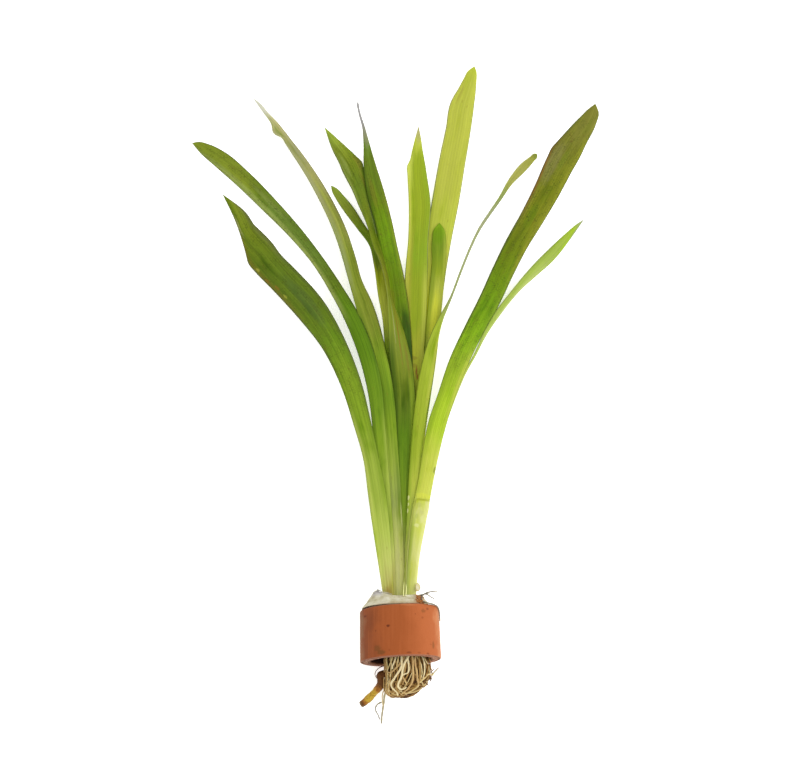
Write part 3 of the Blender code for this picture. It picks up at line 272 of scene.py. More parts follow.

# Each leaf's paint: its finish slot, how much light comes through, its net of cross veins (from y, to y,
# strength, and browner with a lower "net brown"), how strong its streaks are, the blade's tones by y, the
# tones of the left and right margins (tone, share of the half width, strength, from y, to y), and single
# marks (place across from -1 to 1, y, half sizes of both, tone, strength).
# In the margins below, the "edge" tone is painted shade along the blade's sides.
PAINT = {
    "leaf_low_left": {
        "slot": "leaf_dark", "light": 0.3, "net": (100, 200, 0.42),
        "blade": {
            15: "tan", 21: "dull cream", 30: "soft lime", 44: "meadow", 60: "soft green", 76: "soft green",
            92: "fresh", 117: "fresh", 131: "leaf", 146: "olive", 165: "olive", 182: "moss",
            200: "yellow olive",
        },
        "left": [
            ("soft lime", 0.35, 0.5, 50, 98), ("edge", 0.16, 0.5, 120, 165), ("umber", 0.25, 0.4, 150, 185),
        ],
        "right": [("fresh", 0.5, 0.5, 56, 112), ("edge", 0.2, 0.6, 90, 200), ("mauve", 0.3, 0.15, 168, 198)],
        "marks": [
            (-0.4, 186, 0.35, 5, "khaki", 0.45), (-0.1, 17.5, 0.5, 3, "rust", 0.28),
            (0.1, 150, 0.4, 12, "grey green", 0.5), (0.5, 128, 0.3, 9, "leaf", 0.4),
            (-0.7, 160, 0.1, 1.2, "rust", 0.4), (-0.85, 164, 0.08, 1, "rust", 0.4),
            (-0.8, 169, 0.08, 0.8, "old gold", 0.5), (-0.7, 156, 0.08, 0.9, "old gold", 0.45),
        ],
    },
    "leaf_upper_left": {
        "slot": "leaf_green", "light": 0.3, "net": (145, 226, 0.5),
        "blade": {
            15: "dull cream", 24: "dull cream", 34: "soft lime", 50: "soft green", 67: "soft green",
            82: "fresh", 100: "leaf", 128: "green", 146: "green", 158: "olive", 172: "dull green",
            192: "dull green", 206: "yellow olive", 224: "yellow olive",
        },
        "left": [("leaf", 0.4, 0.6, 72, 90), ("sage", 0.52, 0.85, 146, 222), ("edge", 0.06, 0.5, 90, 224)],
        "right": [("meadow", 0.4, 0.5, 58, 95), ("edge", 0.12, 0.55, 120, 224)],
        "marks": [(0.2, 196, 0.3, 9, "sage", 0.35)],
    },
    "leaf_narrow_left": {
        "slot": "leaf_green", "light": 0.32,
        "blade": {
            15: "cream", 27: "cream", 40: "soft lime", 58: "sage", 75: "soft green", 92: "fresh",
            107: "leaf", 125: "fresh", 140: "soft olive", 152: "soft olive", 168: "soft olive",
            184: "dull khaki", 196: "dull khaki", 210: "grey olive", 222: "khaki grey", 232: "thread khaki",
            240: "grey cream", 246: "silver",
        },
        "left": [
            ("soft lime", 0.4, 0.5, 35, 85), ("green", 0.45, 0.7, 112, 146),
            ("grey sage", 0.55, 0.8, 158, 190), ("khaki grey", 0.55, 0.85, 190, 226),
        ],
        "right": [
            ("leaf", 0.4, 0.5, 50, 86), ("dull khaki", 0.3, 0.5, 140, 180),
            ("khaki shade", 0.5, 0.5, 184, 238),
        ],
        "marks": [
            (0.9, 52, 0.1, 6, "milk", 0.35), (0, 170, 0.12, 22, "olive", 0.4),
            (0.2, 30, 0.3, 16, "khaki", 0.4), (-0.5, 229, 0.22, 3, "olive", 0.5),
            (0, 243, 1.6, 7, "silver", 0.75),
        ],
    },
    "leaf_cut_tip": {
        "slot": "leaf_dark", "light": 0.28, "net": (150, 226, 0.4),
        # Painted light: the palest tone at the foot lifts the crown's shade.
        "blade": {
            15: "pale base", 27: "pale base", 36: "soft lime", 52: "fresh", 70: "leaf", 88: "green",
            103: "olive", 118: "yellow olive", 148: "yellow olive", 160: "brown olive", 175: "moss",
            190: "moss", 202: "olive", 214: "moss", 222: "yellow olive", 231: "soft green",
        },
        # Painted shadow of leaf_narrow_left in the left shade margin, and painted light against
        # leaf_twisted's shadow in the right spring margin.
        "left": [
            ("shade", 0.45, 0.8, 66, 132), ("sage", 0.25, 0.5, 192, 226), ("dull khaki", 0.3, 0.5, 146, 168),
        ],
        "right": [("spring", 0.4, 0.7, 72, 114), ("green", 0.3, 0.6, 192, 212)],
        "marks": [
            (0.1, 138, 0.08, 16, "rust", 0.5), (0.4, 146, 0.07, 13, "rust", 0.45),
            (-0.3, 142, 0.1, 12, "khaki", 0.4), (0.7, 213, 0.25, 4, "umber", 0.35),
            (0.5, 206, 0.14, 4, "umber", 0.3), (0.6, 124, 0.12, 8, "umber", 0.4),
            # The two shade marks on the right are painted shadow of leaf_thread_tip's edge.
            (-0.5, 214, 0.2, 6, "sage", 0.5), (0.6, 186, 0.4, 8, "shade", 0.35),
            (0.75, 200, 0.3, 6, "shade", 0.4),
        ],
    },
    "leaf_thread_tip": {
        "slot": "leaf_dark", "light": 0.26, "net": (142, 224, 0.4), "net brown": 0.3,
        # Painted light: the palest tone at the foot lifts the crown's shade; the shade tone from y 128 to 140
        # is painted shadow of leaf_cut_tip.
        "blade": {
            15: "pale base", 28: "soft lime", 42: "soft green", 60: "leaf", 85: "green", 105: "deep",
            128: "shade", 140: "shade", 150: "deep leaf", 160: "deep leaf", 178: "grass", 192: "deep leaf",
            205: "olive", 217: "olive", 223: "dull green", 229: "thread green", 234: "thread",
        },
        "left": [("deep", 0.2, 0.5, 148, 215)],
        "right": [("yellow olive", 0.4, 0.5, 158, 200), ("umber", 0.08, 0.6, 135, 220)],
        "marks": [(-0.3, 200, 0.3, 7, "umber", 0.3), (-0.6, 152, 0.3, 5, "umber", 0.3)],
    },
    "leaf_small": {
        "slot": "leaf_dark", "light": 0.34,
        # Painted light: lighter from y 130 to 170, where the blade lies in shade under leaf_cut_tip and
        # leaf_thread_tip.
        "blade": {
            15: "soft lime", 60: "soft green", 100: "leaf", 118: "leaf", 130: "spring", 146: "pale lime",
            162: "sun", 170: "soft olive", 178: "fresh", 190: "soft olive", 204: "soft green",
        },
        "left": [("edge", 0.1, 0.4, 100, 204)],
        "right": [("edge", 0.2, 0.5, 155, 204)],
        "marks": [],
    },
    "leaf_pale_centre": {
        "slot": "leaf_pale", "light": 0.42, "streaks": 0.12,
        # Painted light: the sun tones from y 120 to 130 and the right butter margin from 120 to 165 lift the
        # shade of leaf_twisted.
        "blade": {
            15: "cream", 30: "cream", 45: "meadow", 60: "spring", 80: "spring", 92: "vivid", 106: "lime",
            120: "sun", 130: "sun", 140: "leaf lime", 158: "leaf lime", 172: "spring", 188: "leaf lime",
            206: "leaf lime", 218: "leaf lime", 225: "pale lime", 231: "khaki",
        },
        "left": [
            ("old gold", 0.5, 0.8, 130, 182), ("butter", 0.24, 0.9, 125, 214), ("straw", 0.5, 0.9, 207, 218),
        ],
        "right": [
            ("butter", 0.4, 0.7, 120, 165), ("spring", 0.45, 0.5, 165, 215),
            ("grey cream", 0.06, 0.6, 165, 222),
        ],
        "marks": [
            (0.3, 119, 0.1, 2.2, "rust", 0.8), (0.42, 116.5, 0.1, 1.4, "rust", 0.8),
            (-0.2, 125, 0.6, 1, "umber", 0.4), (0.1, 121.5, 0.3, 1, "umber", 0.35),
        ],
    },
    "leaf_tallest": {
        "slot": "leaf_pale", "light": 0.45, "streaks": 0.07,
        # Painted light: the palest tone at the foot lifts the crown's shade, and the bright sun tones from y
        # 134 to 150 lift the shade beside leaf_young and leaf_twisted.
        "blade": {
            15: "pale base", 28: "cream", 40: "straw", 60: "lime", 80: "lime", 100: "lime", 122: "sun",
            134: "bright sun", 150: "bright sun", 162: "butter", 176: "butter", 190: "pale lime",
            202: "pale sage", 250: "pale sage", 262: "pale lime",
        },
        "left": [("grey cream", 0.08, 0.5, 180, 252), ("tan", 0.05, 0.4, 225, 250)],
        "right": [
            ("butter", 0.45, 0.7, 70, 135), ("butter", 0.4, 0.4, 150, 200),
            ("grey cream", 0.07, 0.5, 150, 256),
        ],
        "marks": [(-0.55, 246, 0.12, 5, "tan", 0.35), (0.2, 168, 0.5, 12, "spring", 0.15)],
    },
    "leaf_young": {
        "slot": "leaf_pale", "light": 0.4, "streaks": 0.12,
        # Painted light: its palest tone at the foot lifts the crown's shade.
        "blade": {
            15: "pale base", 30: "cream", 42: "straw", 62: "lime", 88: "spring", 115: "lime", 128: "butter",
            138: "bright sun", 148: "bright sun", 156: "pale lime", 164: "leaf lime", 176: "fresh",
            184: "vivid",
        },
        "left": [("fresh", 0.5, 0.75, 62, 105), ("fresh", 0.6, 0.55, 122, 180)],
        "right": [("butter", 0.5, 0.8, 122, 160), ("pale lime", 0.4, 0.6, 160, 180)],
        "marks": [(-0.1, 181, 0.7, 4, "grass", 0.6)],
    },
    "leaf_twisted": {
        "slot": "leaf_green", "light": 0.38, "streaks": 0.14,
        "blade": {
            15: "cream", 34: "soft lime", 52: "meadow", 66: "pale lime", 80: "lime", 100: "lime",
            113: "lime", 142: "lime", 150: "grey sage", 188: "silver sage", 197: "sage", 206: "spoon",
            222: "spoon",
        },
        "left": [("spring", 0.5, 0.6, 45, 100), ("edge", 0.12, 0.4, 120, 150)],
        "right": [("straw", 0.5, 0.8, 34, 66), ("butter", 0.4, 0.7, 104, 146), ("sage", 0.3, 0.6, 203, 210)],
        "marks": [
            (-0.85, 60, 0.16, 1.1, "milk", 0.9), (-0.8, 57, 0.12, 0.8, "milk", 0.8),
            (-0.9, 54, 0.16, 1, "milk", 0.8), (0, 219.6, 1.6, 2.7, "spoon end", 0.7),
        ],
    },
    "leaf_long_right": {
        "slot": "leaf_dark", "light": 0.3, "streaks": 0.14, "net": (120, 236, 0.52),
        "blade": {
            15: "milk", 30: "cream", 48: "straw", 60: "butter", 76: "pale lime", 92: "bright lime",
            106: "bright lime", 119: "spring", 133: "vivid", 147: "grass", 160: "deep leaf",
            176: "deep olive", 190: "warm olive", 206: "warm olive", 222: "brown moss", 232: "dusty moss",
            241: "dusty moss",
        },
        "left": [
            ("soft lime", 0.4, 0.6, 24, 52), ("lime", 0.5, 0.6, 58, 85), ("spring", 0.5, 0.8, 85, 126),
            ("fresh", 0.3, 0.5, 136, 156), ("edge", 0.18, 0.6, 128, 235),
            ("leaf khaki", 0.35, 0.5, 184, 226), ("rust", 0.16, 0.6, 192, 220),
        ],
        "right": [
            ("milk", 0.3, 0.5, 15, 30), ("straw", 0.4, 0.8, 58, 84), ("pale lime", 0.4, 0.7, 96, 128),
            ("fresh", 0.3, 0.5, 138, 165), ("gold olive", 0.35, 0.75, 165, 230),
        ],
        "marks": [
            (0.85, 73, 0.14, 1.6, "edge", 0.55), (0, 60.6, 1.3, 1.3, "bright sun", 0.35),
            (-0.5, 213, 0.4, 10, "mauve", 0.25), (0.05, 216, 0.2, 5, "leaf", 0.2),
            (-0.2, 190, 0.35, 6, "deep leaf", 0.4), (0.1, 200, 0.3, 4, "deep olive", 0.4),
            (0.3, 232, 0.3, 4, "deep olive", 0.3),
        ],
    },
    "leaf_low_right": {
        "slot": "leaf_pale", "light": 0.38, "streaks": 0.12,
        "blade": {
            15: "straw", 60: "lime", 96: "bright lime", 112: "pale lime", 125: "cool lime", 150: "cool lime",
            162: "cool lime", 173: "cool lime", 181: "bright lime", 188: "thread",
        },
        "left": [("sage", 0.25, 0.5, 115, 188)],
        "right": [("lime milk", 0.95, 0.85, 104, 168)],
        "marks": [],
    },
    "old_sheath": {
        "slot": "dry_leaf", "light": 0.35, "streaks": 0.12,
        "blade": {15: "cream", 34: "cream", 46: "straw", 54: "cream", 58: "straw"},
        "left": [("soft green", 0.5, 0.7, 15, 50)],
        "right": [("milk", 0.4, 0.6, 15, 60)],
        "marks": [
            (0.1, 58.8, 1.2, 0.7, "sun", 0.8), (-0.3, 56.2, 0.5, 1.2, "soft lime", 0.6),
            (-0.2, 47, 0.4, 0.9, "milk", 0.7), (0.2, 53, 0.3, 1, "khaki", 0.2),
            (0.4, 50, 0.3, 2, "milk", 0.5), (-0.4, 51, 0.25, 1.2, "soft green", 0.3),
        ],
    },
}

# Root tuft: rows of (y, middle x, middle z, half width, half height)
TUFT = [
    (-1.6, 1, 17.5, 4, 4), (-6, 1.8, 17.5, 7.5, 7.5), (-11, 2.4, 17, 9.3, 9.3), (-13.5, 3.2, 16, 10, 9.6),
    (-17, 3.2, 14, 10.2, 9.6), (-20.5, 2.2, 12.2, 9.4, 8.8), (-23.5, 0.6, 10.8, 7.8, 7),
    (-25.6, 0, 10, 4.8, 4.4), (-26.6, -0.2, 9.8, 2, 1.8),
]

# Its dark core: share of the tuft's size, from y, to y, rows and points in each
CORE_SHARE = 0.8
CORE_TOP_Y = -2.0
CORE_LOW_Y = -25.2
CORE_ROWS = 30
CORE_SIDES = 48

# Its strands: from y, to y, points in each; roots on its face that show above y start inside the ring
STRAND_TOP_Y = -4.0
STRAND_LOW_Y = -25.6
STRAND_POINTS = 34
FROM_RING_Y = -13.0
FACE_ROOT_TOP_Y = -6.0

# Strands of the tuft, inner layer first: least and most depth, how many, their tints
STRAND_LAYERS = [
    (0.8, 0.87, 60, (0.05, 0.12, 0.2, 0.32)), (0.86, 0.93, 56, (0.15, 0.3, 0.45, 0.55)),
    (0.92, 0.985, 34, (0.36, 0.5, 0.6, 0.72, 0.85)),
]

# How light each named root is, from dark brown at 0 to cream at 1
ROOT_TINTS = {"brown": 0.1, "rust": 0.22, "gold": 0.36, "tan": 0.52, "pink": 0.70, "pale": 0.84, "cream": 1.0}

# Roots that stand out on the tuft's face: tint, radius, lift off the tuft, points (x, y)
FACE_ROOTS = [
    ("tan", 0.4, 0.1, [
        (-5.9, -9.9), (-5.9, -12.9), (-5.9, -15.7), (-5.8, -18.5), (-5.7, -21.4), (-5.4, -23.7),
        (-4.4, -25.1), (-3, -25.8),
    ]),
    ("tan", 0.35, 0.1, [
        (-5.4, -22.6), (-4.1, -24), (-2.6, -25.2), (-1.3, -25.6), (0.2, -25.7), (1.9, -25.3), (3.4, -24.7),
    ]),
    ("gold", 0.35, 0.1, [(12.8, -12.2), (13, -14.2), (12.6, -16.4), (11.7, -18.5), (10.3, -20.2)]),
    ("pale", 0.3, 0.1, [(-3.4, -11.3), (-4.1, -12.8), (-4.8, -14.3), (-5.1, -15.1)]),
    ("pale", 0.35, 0.2, [(-0.6, -10.2), (-0.9, -11.9), (-1.1, -13.5), (-1.7, -15.1)]),
    ("tan", 0.33, 0.2, [(-4.7, -17.1), (-4.1, -18.8), (-4.1, -20.6), (-4.7, -22.3), (-4.5, -23.8)]),
    ("tan", 0.3, 0.2, [(-1.9, -21), (-1.4, -22.3), (-1.4, -23.7), (-0.6, -24.7)]),
    ("tan", 0.35, 0.2, [
        (8.3, -12.6), (8.4, -15), (8.5, -17.4), (8.3, -19.7), (7.5, -21.4), (6, -22.8), (4.3, -23.9),
    ]),
    ("pale", 0.4, 0.2, [(8, -21.5), (6.8, -22.6), (5.3, -23.5), (3.9, -24.3), (2.4, -25.1)]),
    ("gold", 0.35, 0.2, [
        (11.3, -10.1), (11.9, -12.4), (11.9, -14.6), (11.4, -16.7), (10.5, -18.5), (9.2, -20),
    ]),
    ("tan", 0.3, 0.3, [(3.5, -17.4), (3, -18.4), (2.3, -19.4), (1.5, -20.5), (1.1, -21.7)]),
    ("cream", 0.42, 0.3, [(-1.7, -9.7), (-2, -11.4), (-2.6, -13), (-3.2, -14.4), (-3.2, -15.3)]),
    ("pink", 0.4, 0.3, [
        (0.9, -12.4), (-0.4, -13.8), (-1.9, -15.2), (-3.4, -16.3), (-4.5, -16.6), (-5.6, -16),
    ]),
    ("pink", 0.5, 0.3, [
        (6.7, -9.7), (6.3, -11.3), (6.4, -12.7), (6.7, -14.6), (7.1, -16.3), (7.3, -18.3), (7.6, -20.1),
        (8, -21.5),
    ]),
    ("cream", 0.35, 0.3, [
        (9.2, -9.5), (9.9, -11.3), (10.4, -13.2), (10.5, -15.2), (10.3, -17.2), (9.8, -18.8),
    ]),
    ("pink", 0.48, 0.4, [
        (5.3, -11.1), (5.5, -13.2), (5.5, -15.2), (5.6, -17.2), (5.5, -19.1), (5, -20.9), (4.1, -22.2),
        (2.9, -23.5), (1.6, -24.4), (0.3, -25.3),
    ]),
    ("pale", 0.45, 0.5, [(8.3, -20.6), (9.6, -19.4), (10.9, -18.2), (12.2, -17)]),
    ("pink", 0.35, 0.5, [(1.1, -18.6), (1.8, -19.6), (2.4, -20.6), (2.9, -21.6)]),
    ("cream", 0.42, 0.5, [
        (3.3, -10.3), (3.5, -12.4), (3.7, -14.5), (3.7, -16.1), (3.2, -17.2), (2.1, -17.5), (1.2, -18),
    ]),
    ("cream", 0.48, 0.6, [
        (0.7, -9.9), (0.7, -12), (0.8, -13.6), (0.3, -15.4), (-0.7, -16.8), (-1.7, -18.1), (-2.6, -19.4),
        (-3.5, -20.5), (-3.8, -21.5), (-3.4, -22.6), (-2.4, -23.6), (-1.4, -24.4), (-0.9, -25.5),
    ]),
    ("cream", 0.5, 0.7, [
        (3.6, -9.9), (2.9, -11.6), (1.9, -13.3), (1.4, -14.9), (1, -16.5), (0.9, -17.8), (0.4, -19.2),
        (-0.3, -20.4), (-0.8, -21.6), (-0.6, -22.7), (0.4, -23.4), (1.7, -23.2), (2.6, -22.6),
    ]),
]

# Hair roots off the tuft: points (x, y, z)
HAIR_ROOTS = [
    [(10.4, -19.6, 18), (11.6, -19.7, 17.6), (12.6, -19.1, 17.2), (12.8, -18, 17)],
    [(8.8, -21.9, 17), (9.8, -22.4, 16.6), (10.8, -22.2, 16.4)],
    [(13, -15.8, 14), (13.9, -14.8, 14.2), (14.8, -14.1, 14.2)],
    [
        (-5.4, -12.4, 14), (-7.4, -12.9, 13.8), (-9.3, -13.9, 13.8), (-10.5, -15.4, 14),
        (-10.7, -16.8, 14.4), (-10, -18.2, 14.4),
    ],
    [(-6.4, -13.6, 15), (-6.8, -14.8, 15.2), (-7.3, -16, 15.6)],
]

# Roots that leave the tuft's face for the side and the lower edge: radius, tint, points
EDGE_ROOTS = [
    (0.36, "pale", [
        (11.4, -17.6, 19.6), (12.3, -16.9, 18.4), (13.1, -16.8, 16.2), (13.7, -16.7, 13.8),
        (13.9, -16.4, 11.8),
    ]),
    (0.24, "gold", [
        (11.6, -13, 19), (12.9, -13.8, 17.2), (13.6, -15, 15.6), (13.6, -16.8, 14.4), (12.8, -18.6, 14),
    ]),
    (0.22, "tan", [(11.2, -19.2, 15.6), (11.8, -20.2, 14.8), (11, -21.4, 14.2), (9.6, -21.8, 14)]),
    (0.2, "brown", [(10.6, -18.2, 17.2), (11.9, -18.8, 16.4), (12.9, -18.2, 16)]),
    (0.22, "tan", [(-5.6, -20.4, 16), (-6.3, -21.6, 15), (-6.2, -23, 13.8), (-5.2, -24.2, 12.8)]),
    (0.24, "gold", [
        (-4.6, -24.2, 13.4), (-3, -25.6, 12.4), (-1, -26.1, 12), (1.4, -25.7, 12), (3, -24.9, 12.4),
    ]),
    (0.24, "pale", [(-5.9, -21.6, 9), (-7.4, -23.4, 6.6), (-7.6, -26.2, 4.4), (-7.3, -28.6, 2.4)]),
    (0.3, "brown", [(11.6, -17.6, 17.4), (12.8, -17.6, 16.4), (13.4, -18.4, 15.6), (12.9, -19.6, 15)]),
    (0.24, "brown", [(10, -20.2, 16.2), (11.2, -20.4, 15.4), (12.2, -21.4, 14.8)]),
]

# Roots on the wool at the right: radius, tint, points (x, y), all just above what is under them
WOOL_ROOTS = [
    (0.34, "rust", [(7.2, 15.2), (7.8, 14.2), (8.5, 13.3), (9.4, 13.3), (10.4, 12.6)]),
    (0.3, "rust", [(6.6, 14.2), (7.8, 13), (9, 12.5), (10, 12.4)]),
    (0.26, "gold", [(7.2, 13), (8.2, 14.2), (9, 15), (9.6, 15.6)]),
    (0.2, "gold", [(8.6, 15), (9.3, 14), (9.6, 12.9), (10.4, 12.2)]),
    (0.18, "gold", [(6.6, 16.3), (7.6, 15.6), (8.8, 15.4), (9.8, 15.9)]),
]

# Hairs beside them: radius, points (x, y, z)
WOOL_HAIRS = [
    (0.28, [
        (9.1, 13.6, 28.2), (9.2, 14.4, 28.4), (9.6, 15.5, 28.6), (10.7, 16, 28.8), (11.7, 15.8, 28.8),
        (13.1, 14.8, 28.6), (14.5, 14.1, 28.4),
    ]),
    (0.2, [(7.9, 15.6, 28.2), (9.6, 15.9, 28.5), (11.2, 16.2, 28.6), (12.8, 16.5, 28.6)]),
    (0.32, [
        (9.8, 12.6, 30), (11.2, 12, 30.9), (12.9, 11.9, 29.2), (14.5, 11.8, 26.8), (16.1, 11.3, 23.4),
        (16.8, 10, 20.8), (17.05, 8.2, 19.2), (17.2, 6, 18.6),
    ]),
]

# Two pale slivers of leaf that stand at the bundle's foot: x, y and half width, from the foot up
SLIVERS = [
    [(1.55, 15.2, 0.24), (1.52, 17, 0.26), (1.58, 19.2, 0.2), (1.72, 21.6, 0.07)],
    [(2.45, 15.4, 0.2), (2.62, 17.2, 0.26), (2.7, 18.8, 0.2), (2.55, 20.9, 0.07)],
]

# Runner: rows of (x, y, z, radius), from the rhizome knob to the cut end
RUNNER = [
    (-4, -15.8, 15.2, 1.3), (-6, -16.2, 15.2, 1.5), (-8.2, -17, 14.8, 1.9), (-8.2, -19.2, 13.2, 1.5),
    (-8.7, -21.2, 11, 1.6), (-10.4, -22.9, 8.8, 1.5), (-13.8, -26, 5.5, 1.6), (-16.5, -28, 3.2, 1.3),
]
RUNNER_SIDES = 28

# Single roots: radius at the start and at the tip, then the points that each passes
SINGLE_ROOTS = {
    "long_root": (0.48, 0.36, [
        (-5.8, -22.6, 5.2), (-6.6, -24, 4), (-6.9, -26, 2.8), (-7.2, -28.4, 1.8), (-7.6, -31.2, 1.1),
        (-7.9, -33.8, 0.9), (-8, -36, 0.8),
    ]),
    "looped_root": (0.27, 0.24, [
        (-8, -27, 2.4), (-9, -27.3, 1.9), (-10.1, -28.2, 1.5), (-10.6, -29.4, 1.2), (-10.3, -30.8, 1),
        (-9.4, -32.4, 0.9), (-8.8, -34.2, 0.8),
    ]),
    "side_root": (0.4, 0.22, [
        (13.7, -16.6, 11.6), (14.5, -15.6, 12), (15.5, -14.5, 12.2), (16.7, -13.3, 12.2),
    ]),
    "top_root": (0.26, 0.22, [
        (8.9, 15.4, 27.6), (10.4, 16.2, 28.2), (12.6, 17, 28.5), (14.4, 17.1, 28.5), (16, 17, 28.2),
    ]),
}

# Their linear colours at the start and at the tip; the hairs on the wool have those of top_root
FINE_ROOT_TONES = {
    "long_root": ((0.50, 0.45, 0.25, 1), (0.30, 0.27, 0.17, 1)),
    "looped_root": ((0.24, 0.24, 0.15, 1), (0.26, 0.25, 0.24, 1)),
    "side_root": ((0.70, 0.66, 0.36, 1), (0.42, 0.36, 0.28, 1)),
    "top_root": ((0.09, 0.08, 0.05, 1), (0.20, 0.18, 0.15, 1)),
}

# Stains on the ring's upper face, and a painted highlight along its right edge: x, y, half sizes, tone,
# strength
CLAY_STAINS = [
    (-5.1, 1.6, 0.65, 0.65, "clay stain", 0.9), (-14.9, 6.8, 0.6, 0.5, "clay stain", 0.7),
    (-12.6, 2, 1.6, 2.4, "clay dark", 0.5), (9.9, 8.4, 1, 0.9, "algae", 0.4),
    (14.2, -5.9, 0.5, 1.7, "algae", 0.5), (-9.6, -7.8, 1.5, 1.5, "algae", 0.5),
    (-8, -9.6, 1.9, 1, "algae", 0.6), (3.8, -9.9, 1.1, 0.5, "clay stain", 0.5),
    (8.2, -9.8, 0.8, 0.4, "clay stain", 0.35), (11.9, -9.8, 0.7, 0.4, "clay stain", 0.5),
    (3.4, 10.7, 3.4, 0.5, "clay worn", 0.3), (11.7, 9.5, 0.6, 0.6, "clay stain", 0.45),
    (9.6, 5.5, 0.5, 0.5, "clay stain", 0.3), (16.4, 6.6, 0.5, 4.5, "clay dust", 0.3),
    # Painted highlight along the ring's right edge
    (15.6, 3, 0.8, 5, "clay worn", 0.3),
]

# Tones from 0 to 1: across the ring from its left, painted shade at the left to painted light and a painted
# highlight at the right; from dark roots to light ones; and along the runner
CLAY_STOPS = [
    (0.0, "clay shade"), (0.07, "clay dark"), (0.28, "clay"), (0.55, "clay"), (0.80, "clay light"),
    (0.93, "clay light"), (1.0, "clay worn"),
]
STRAND_STOPS = [
    (0, "root dark"), (0.12, "root brown"), (0.35, "root gold"), (0.5, "root tan"), (0.68, "root pink"),
    (0.82, "root pale"), (0.97, "root cream"),
]
RUST_ROOT_STOPS = [
    (0.1, "root brown"), (0.25, "rust root"), (0.55, "rust root"), (0.75, "root tan"), (0.95, "root pale"),
]
RUNNER_STOPS = [
    (0.0, "root dark"), (0.12, "knob"), (0.34, "knob"), (0.42, "knob light"), (0.50, "runner orange"),
    (0.60, "runner gold"), (0.82, "runner gold"), (0.89, "runner orange"), (0.95, "knob"),
    (0.99, "runner cut"),
]


def tone(colour):
    """A named display colour as the linear colour that a shader takes; any other colour stays as it is."""
    if not isinstance(colour, str):
        return colour
    shown = [c / 255 for c in TONES[colour]]
    linear = [c / 12.92 if c <= 0.04045 else ((c + 0.055) / 1.055) ** 2.4 for c in shown]
    return (*linear, 1.0)


def smooth_step(t):
    t = np.clip(t, 0.0, 1.0)
    return t * t * (3 - 2 * t)


def on_curve(t, near, far, slope_near, slope_far):
    """A place at t from 0 to 1 on the smooth curve from near to far."""
    start = (1 + 2 * t) * (1 - t) ** 2 * near + t * (1 - t) ** 2 * slope_near
    end = t * t * (3 - 2 * t) * far + t * t * (t - 1) * slope_far
    return start + end


def smooth_rows(rows, step):
    """The hand-placed rows read along one smooth curve, about one row every step millimetres."""
    rows = np.array(rows, float)
    steps = np.linalg.norm(np.diff(rows[:, :3], axis=0), axis=1)
    along = np.concatenate([[0.0], np.cumsum(steps)])
    slopes = np.gradient(rows, along, axis=0)
    read = []
    for i, span in enumerate(steps):
        cuts = max(2, round(span / step))
        for k in range(cuts):
            read.append(on_curve(k / cuts, rows[i], rows[i + 1], span * slopes[i], span * slopes[i + 1]))
    return np.array(read + [rows[-1]])


def directions(points):
    ahead = np.gradient(points, axis=0)
    return ahead / np.linalg.norm(ahead, axis=1)[:, None]


def circle(count):
    """Evenly spaced angles as (angle, cosine, sine)."""
    angles = [2 * math.pi * i / count for i in range(count)]
    return [(angle, math.cos(angle), math.sin(angle)) for angle in angles]


class Skin:
    """Collects closed tubes and skins, with named values at their points, and makes one mesh of them."""

    def __init__(self, name):
        self.name = name
        self.points = []
        self.faces = []
        self.values = {}
        self.count = 0

    def add(self, sections, tip=None, ring_shut=False, **values):
        """sections: rows of equally many points; values: one number or vector for each point, tip last."""
        grid = np.array(sections, float)
        rows, columns = grid.shape[:2]
        points = grid.reshape(-1, 3)
        index = self.count + np.arange(rows * columns).reshape(rows, columns)
        pairs = list(zip(index[:-1], index[1:]))
        if ring_shut:
            pairs.append((index[-1], index[0]))
        for near, far in pairs:
            self.faces += np.stack([near, far, np.roll(far, -1), np.roll(near, -1)], axis=1).tolist()
        last = index[-1]
        if not ring_shut:
            self.faces.append(index[0].tolist())
            if tip is None:
                self.faces.append(last[::-1].tolist())
        if tip is not None:
            end = self.count + rows * columns
            points = np.vstack([points, tip])
            self.faces += [[a, end, b] for a, b in zip(last.tolist(), np.roll(last, -1).tolist())]
        self.points.append(points)
        self.count += len(points)
        for key, value in values.items():
            value = np.array(value, float)
            if value.ndim == 0:
                value = np.full(len(points), float(value))
            self.values.setdefault(key, []).append(value.reshape(len(points), -1))

    def make(self):
        points = (np.vstack(self.points) * MM + np.array(HOME)).tolist()
        mesh = bpy.data.meshes.new(self.name)
        mesh.from_pydata(points, [], self.faces)
        for key, parts in self.values.items():
            data = np.vstack(parts)
            kind = "FLOAT" if data.shape[1] == 1 else "FLOAT_VECTOR"
            layer = mesh.attributes.new(key, kind, "POINT")
            layer.data.foreach_set("value" if kind == "FLOAT" else "vector", data.ravel())
        mesh.validate()
        mesh.shade_smooth()
        made = bpy.data.objects.new(self.name, mesh)
        bpy.context.scene.collection.objects.link(made)
        return made


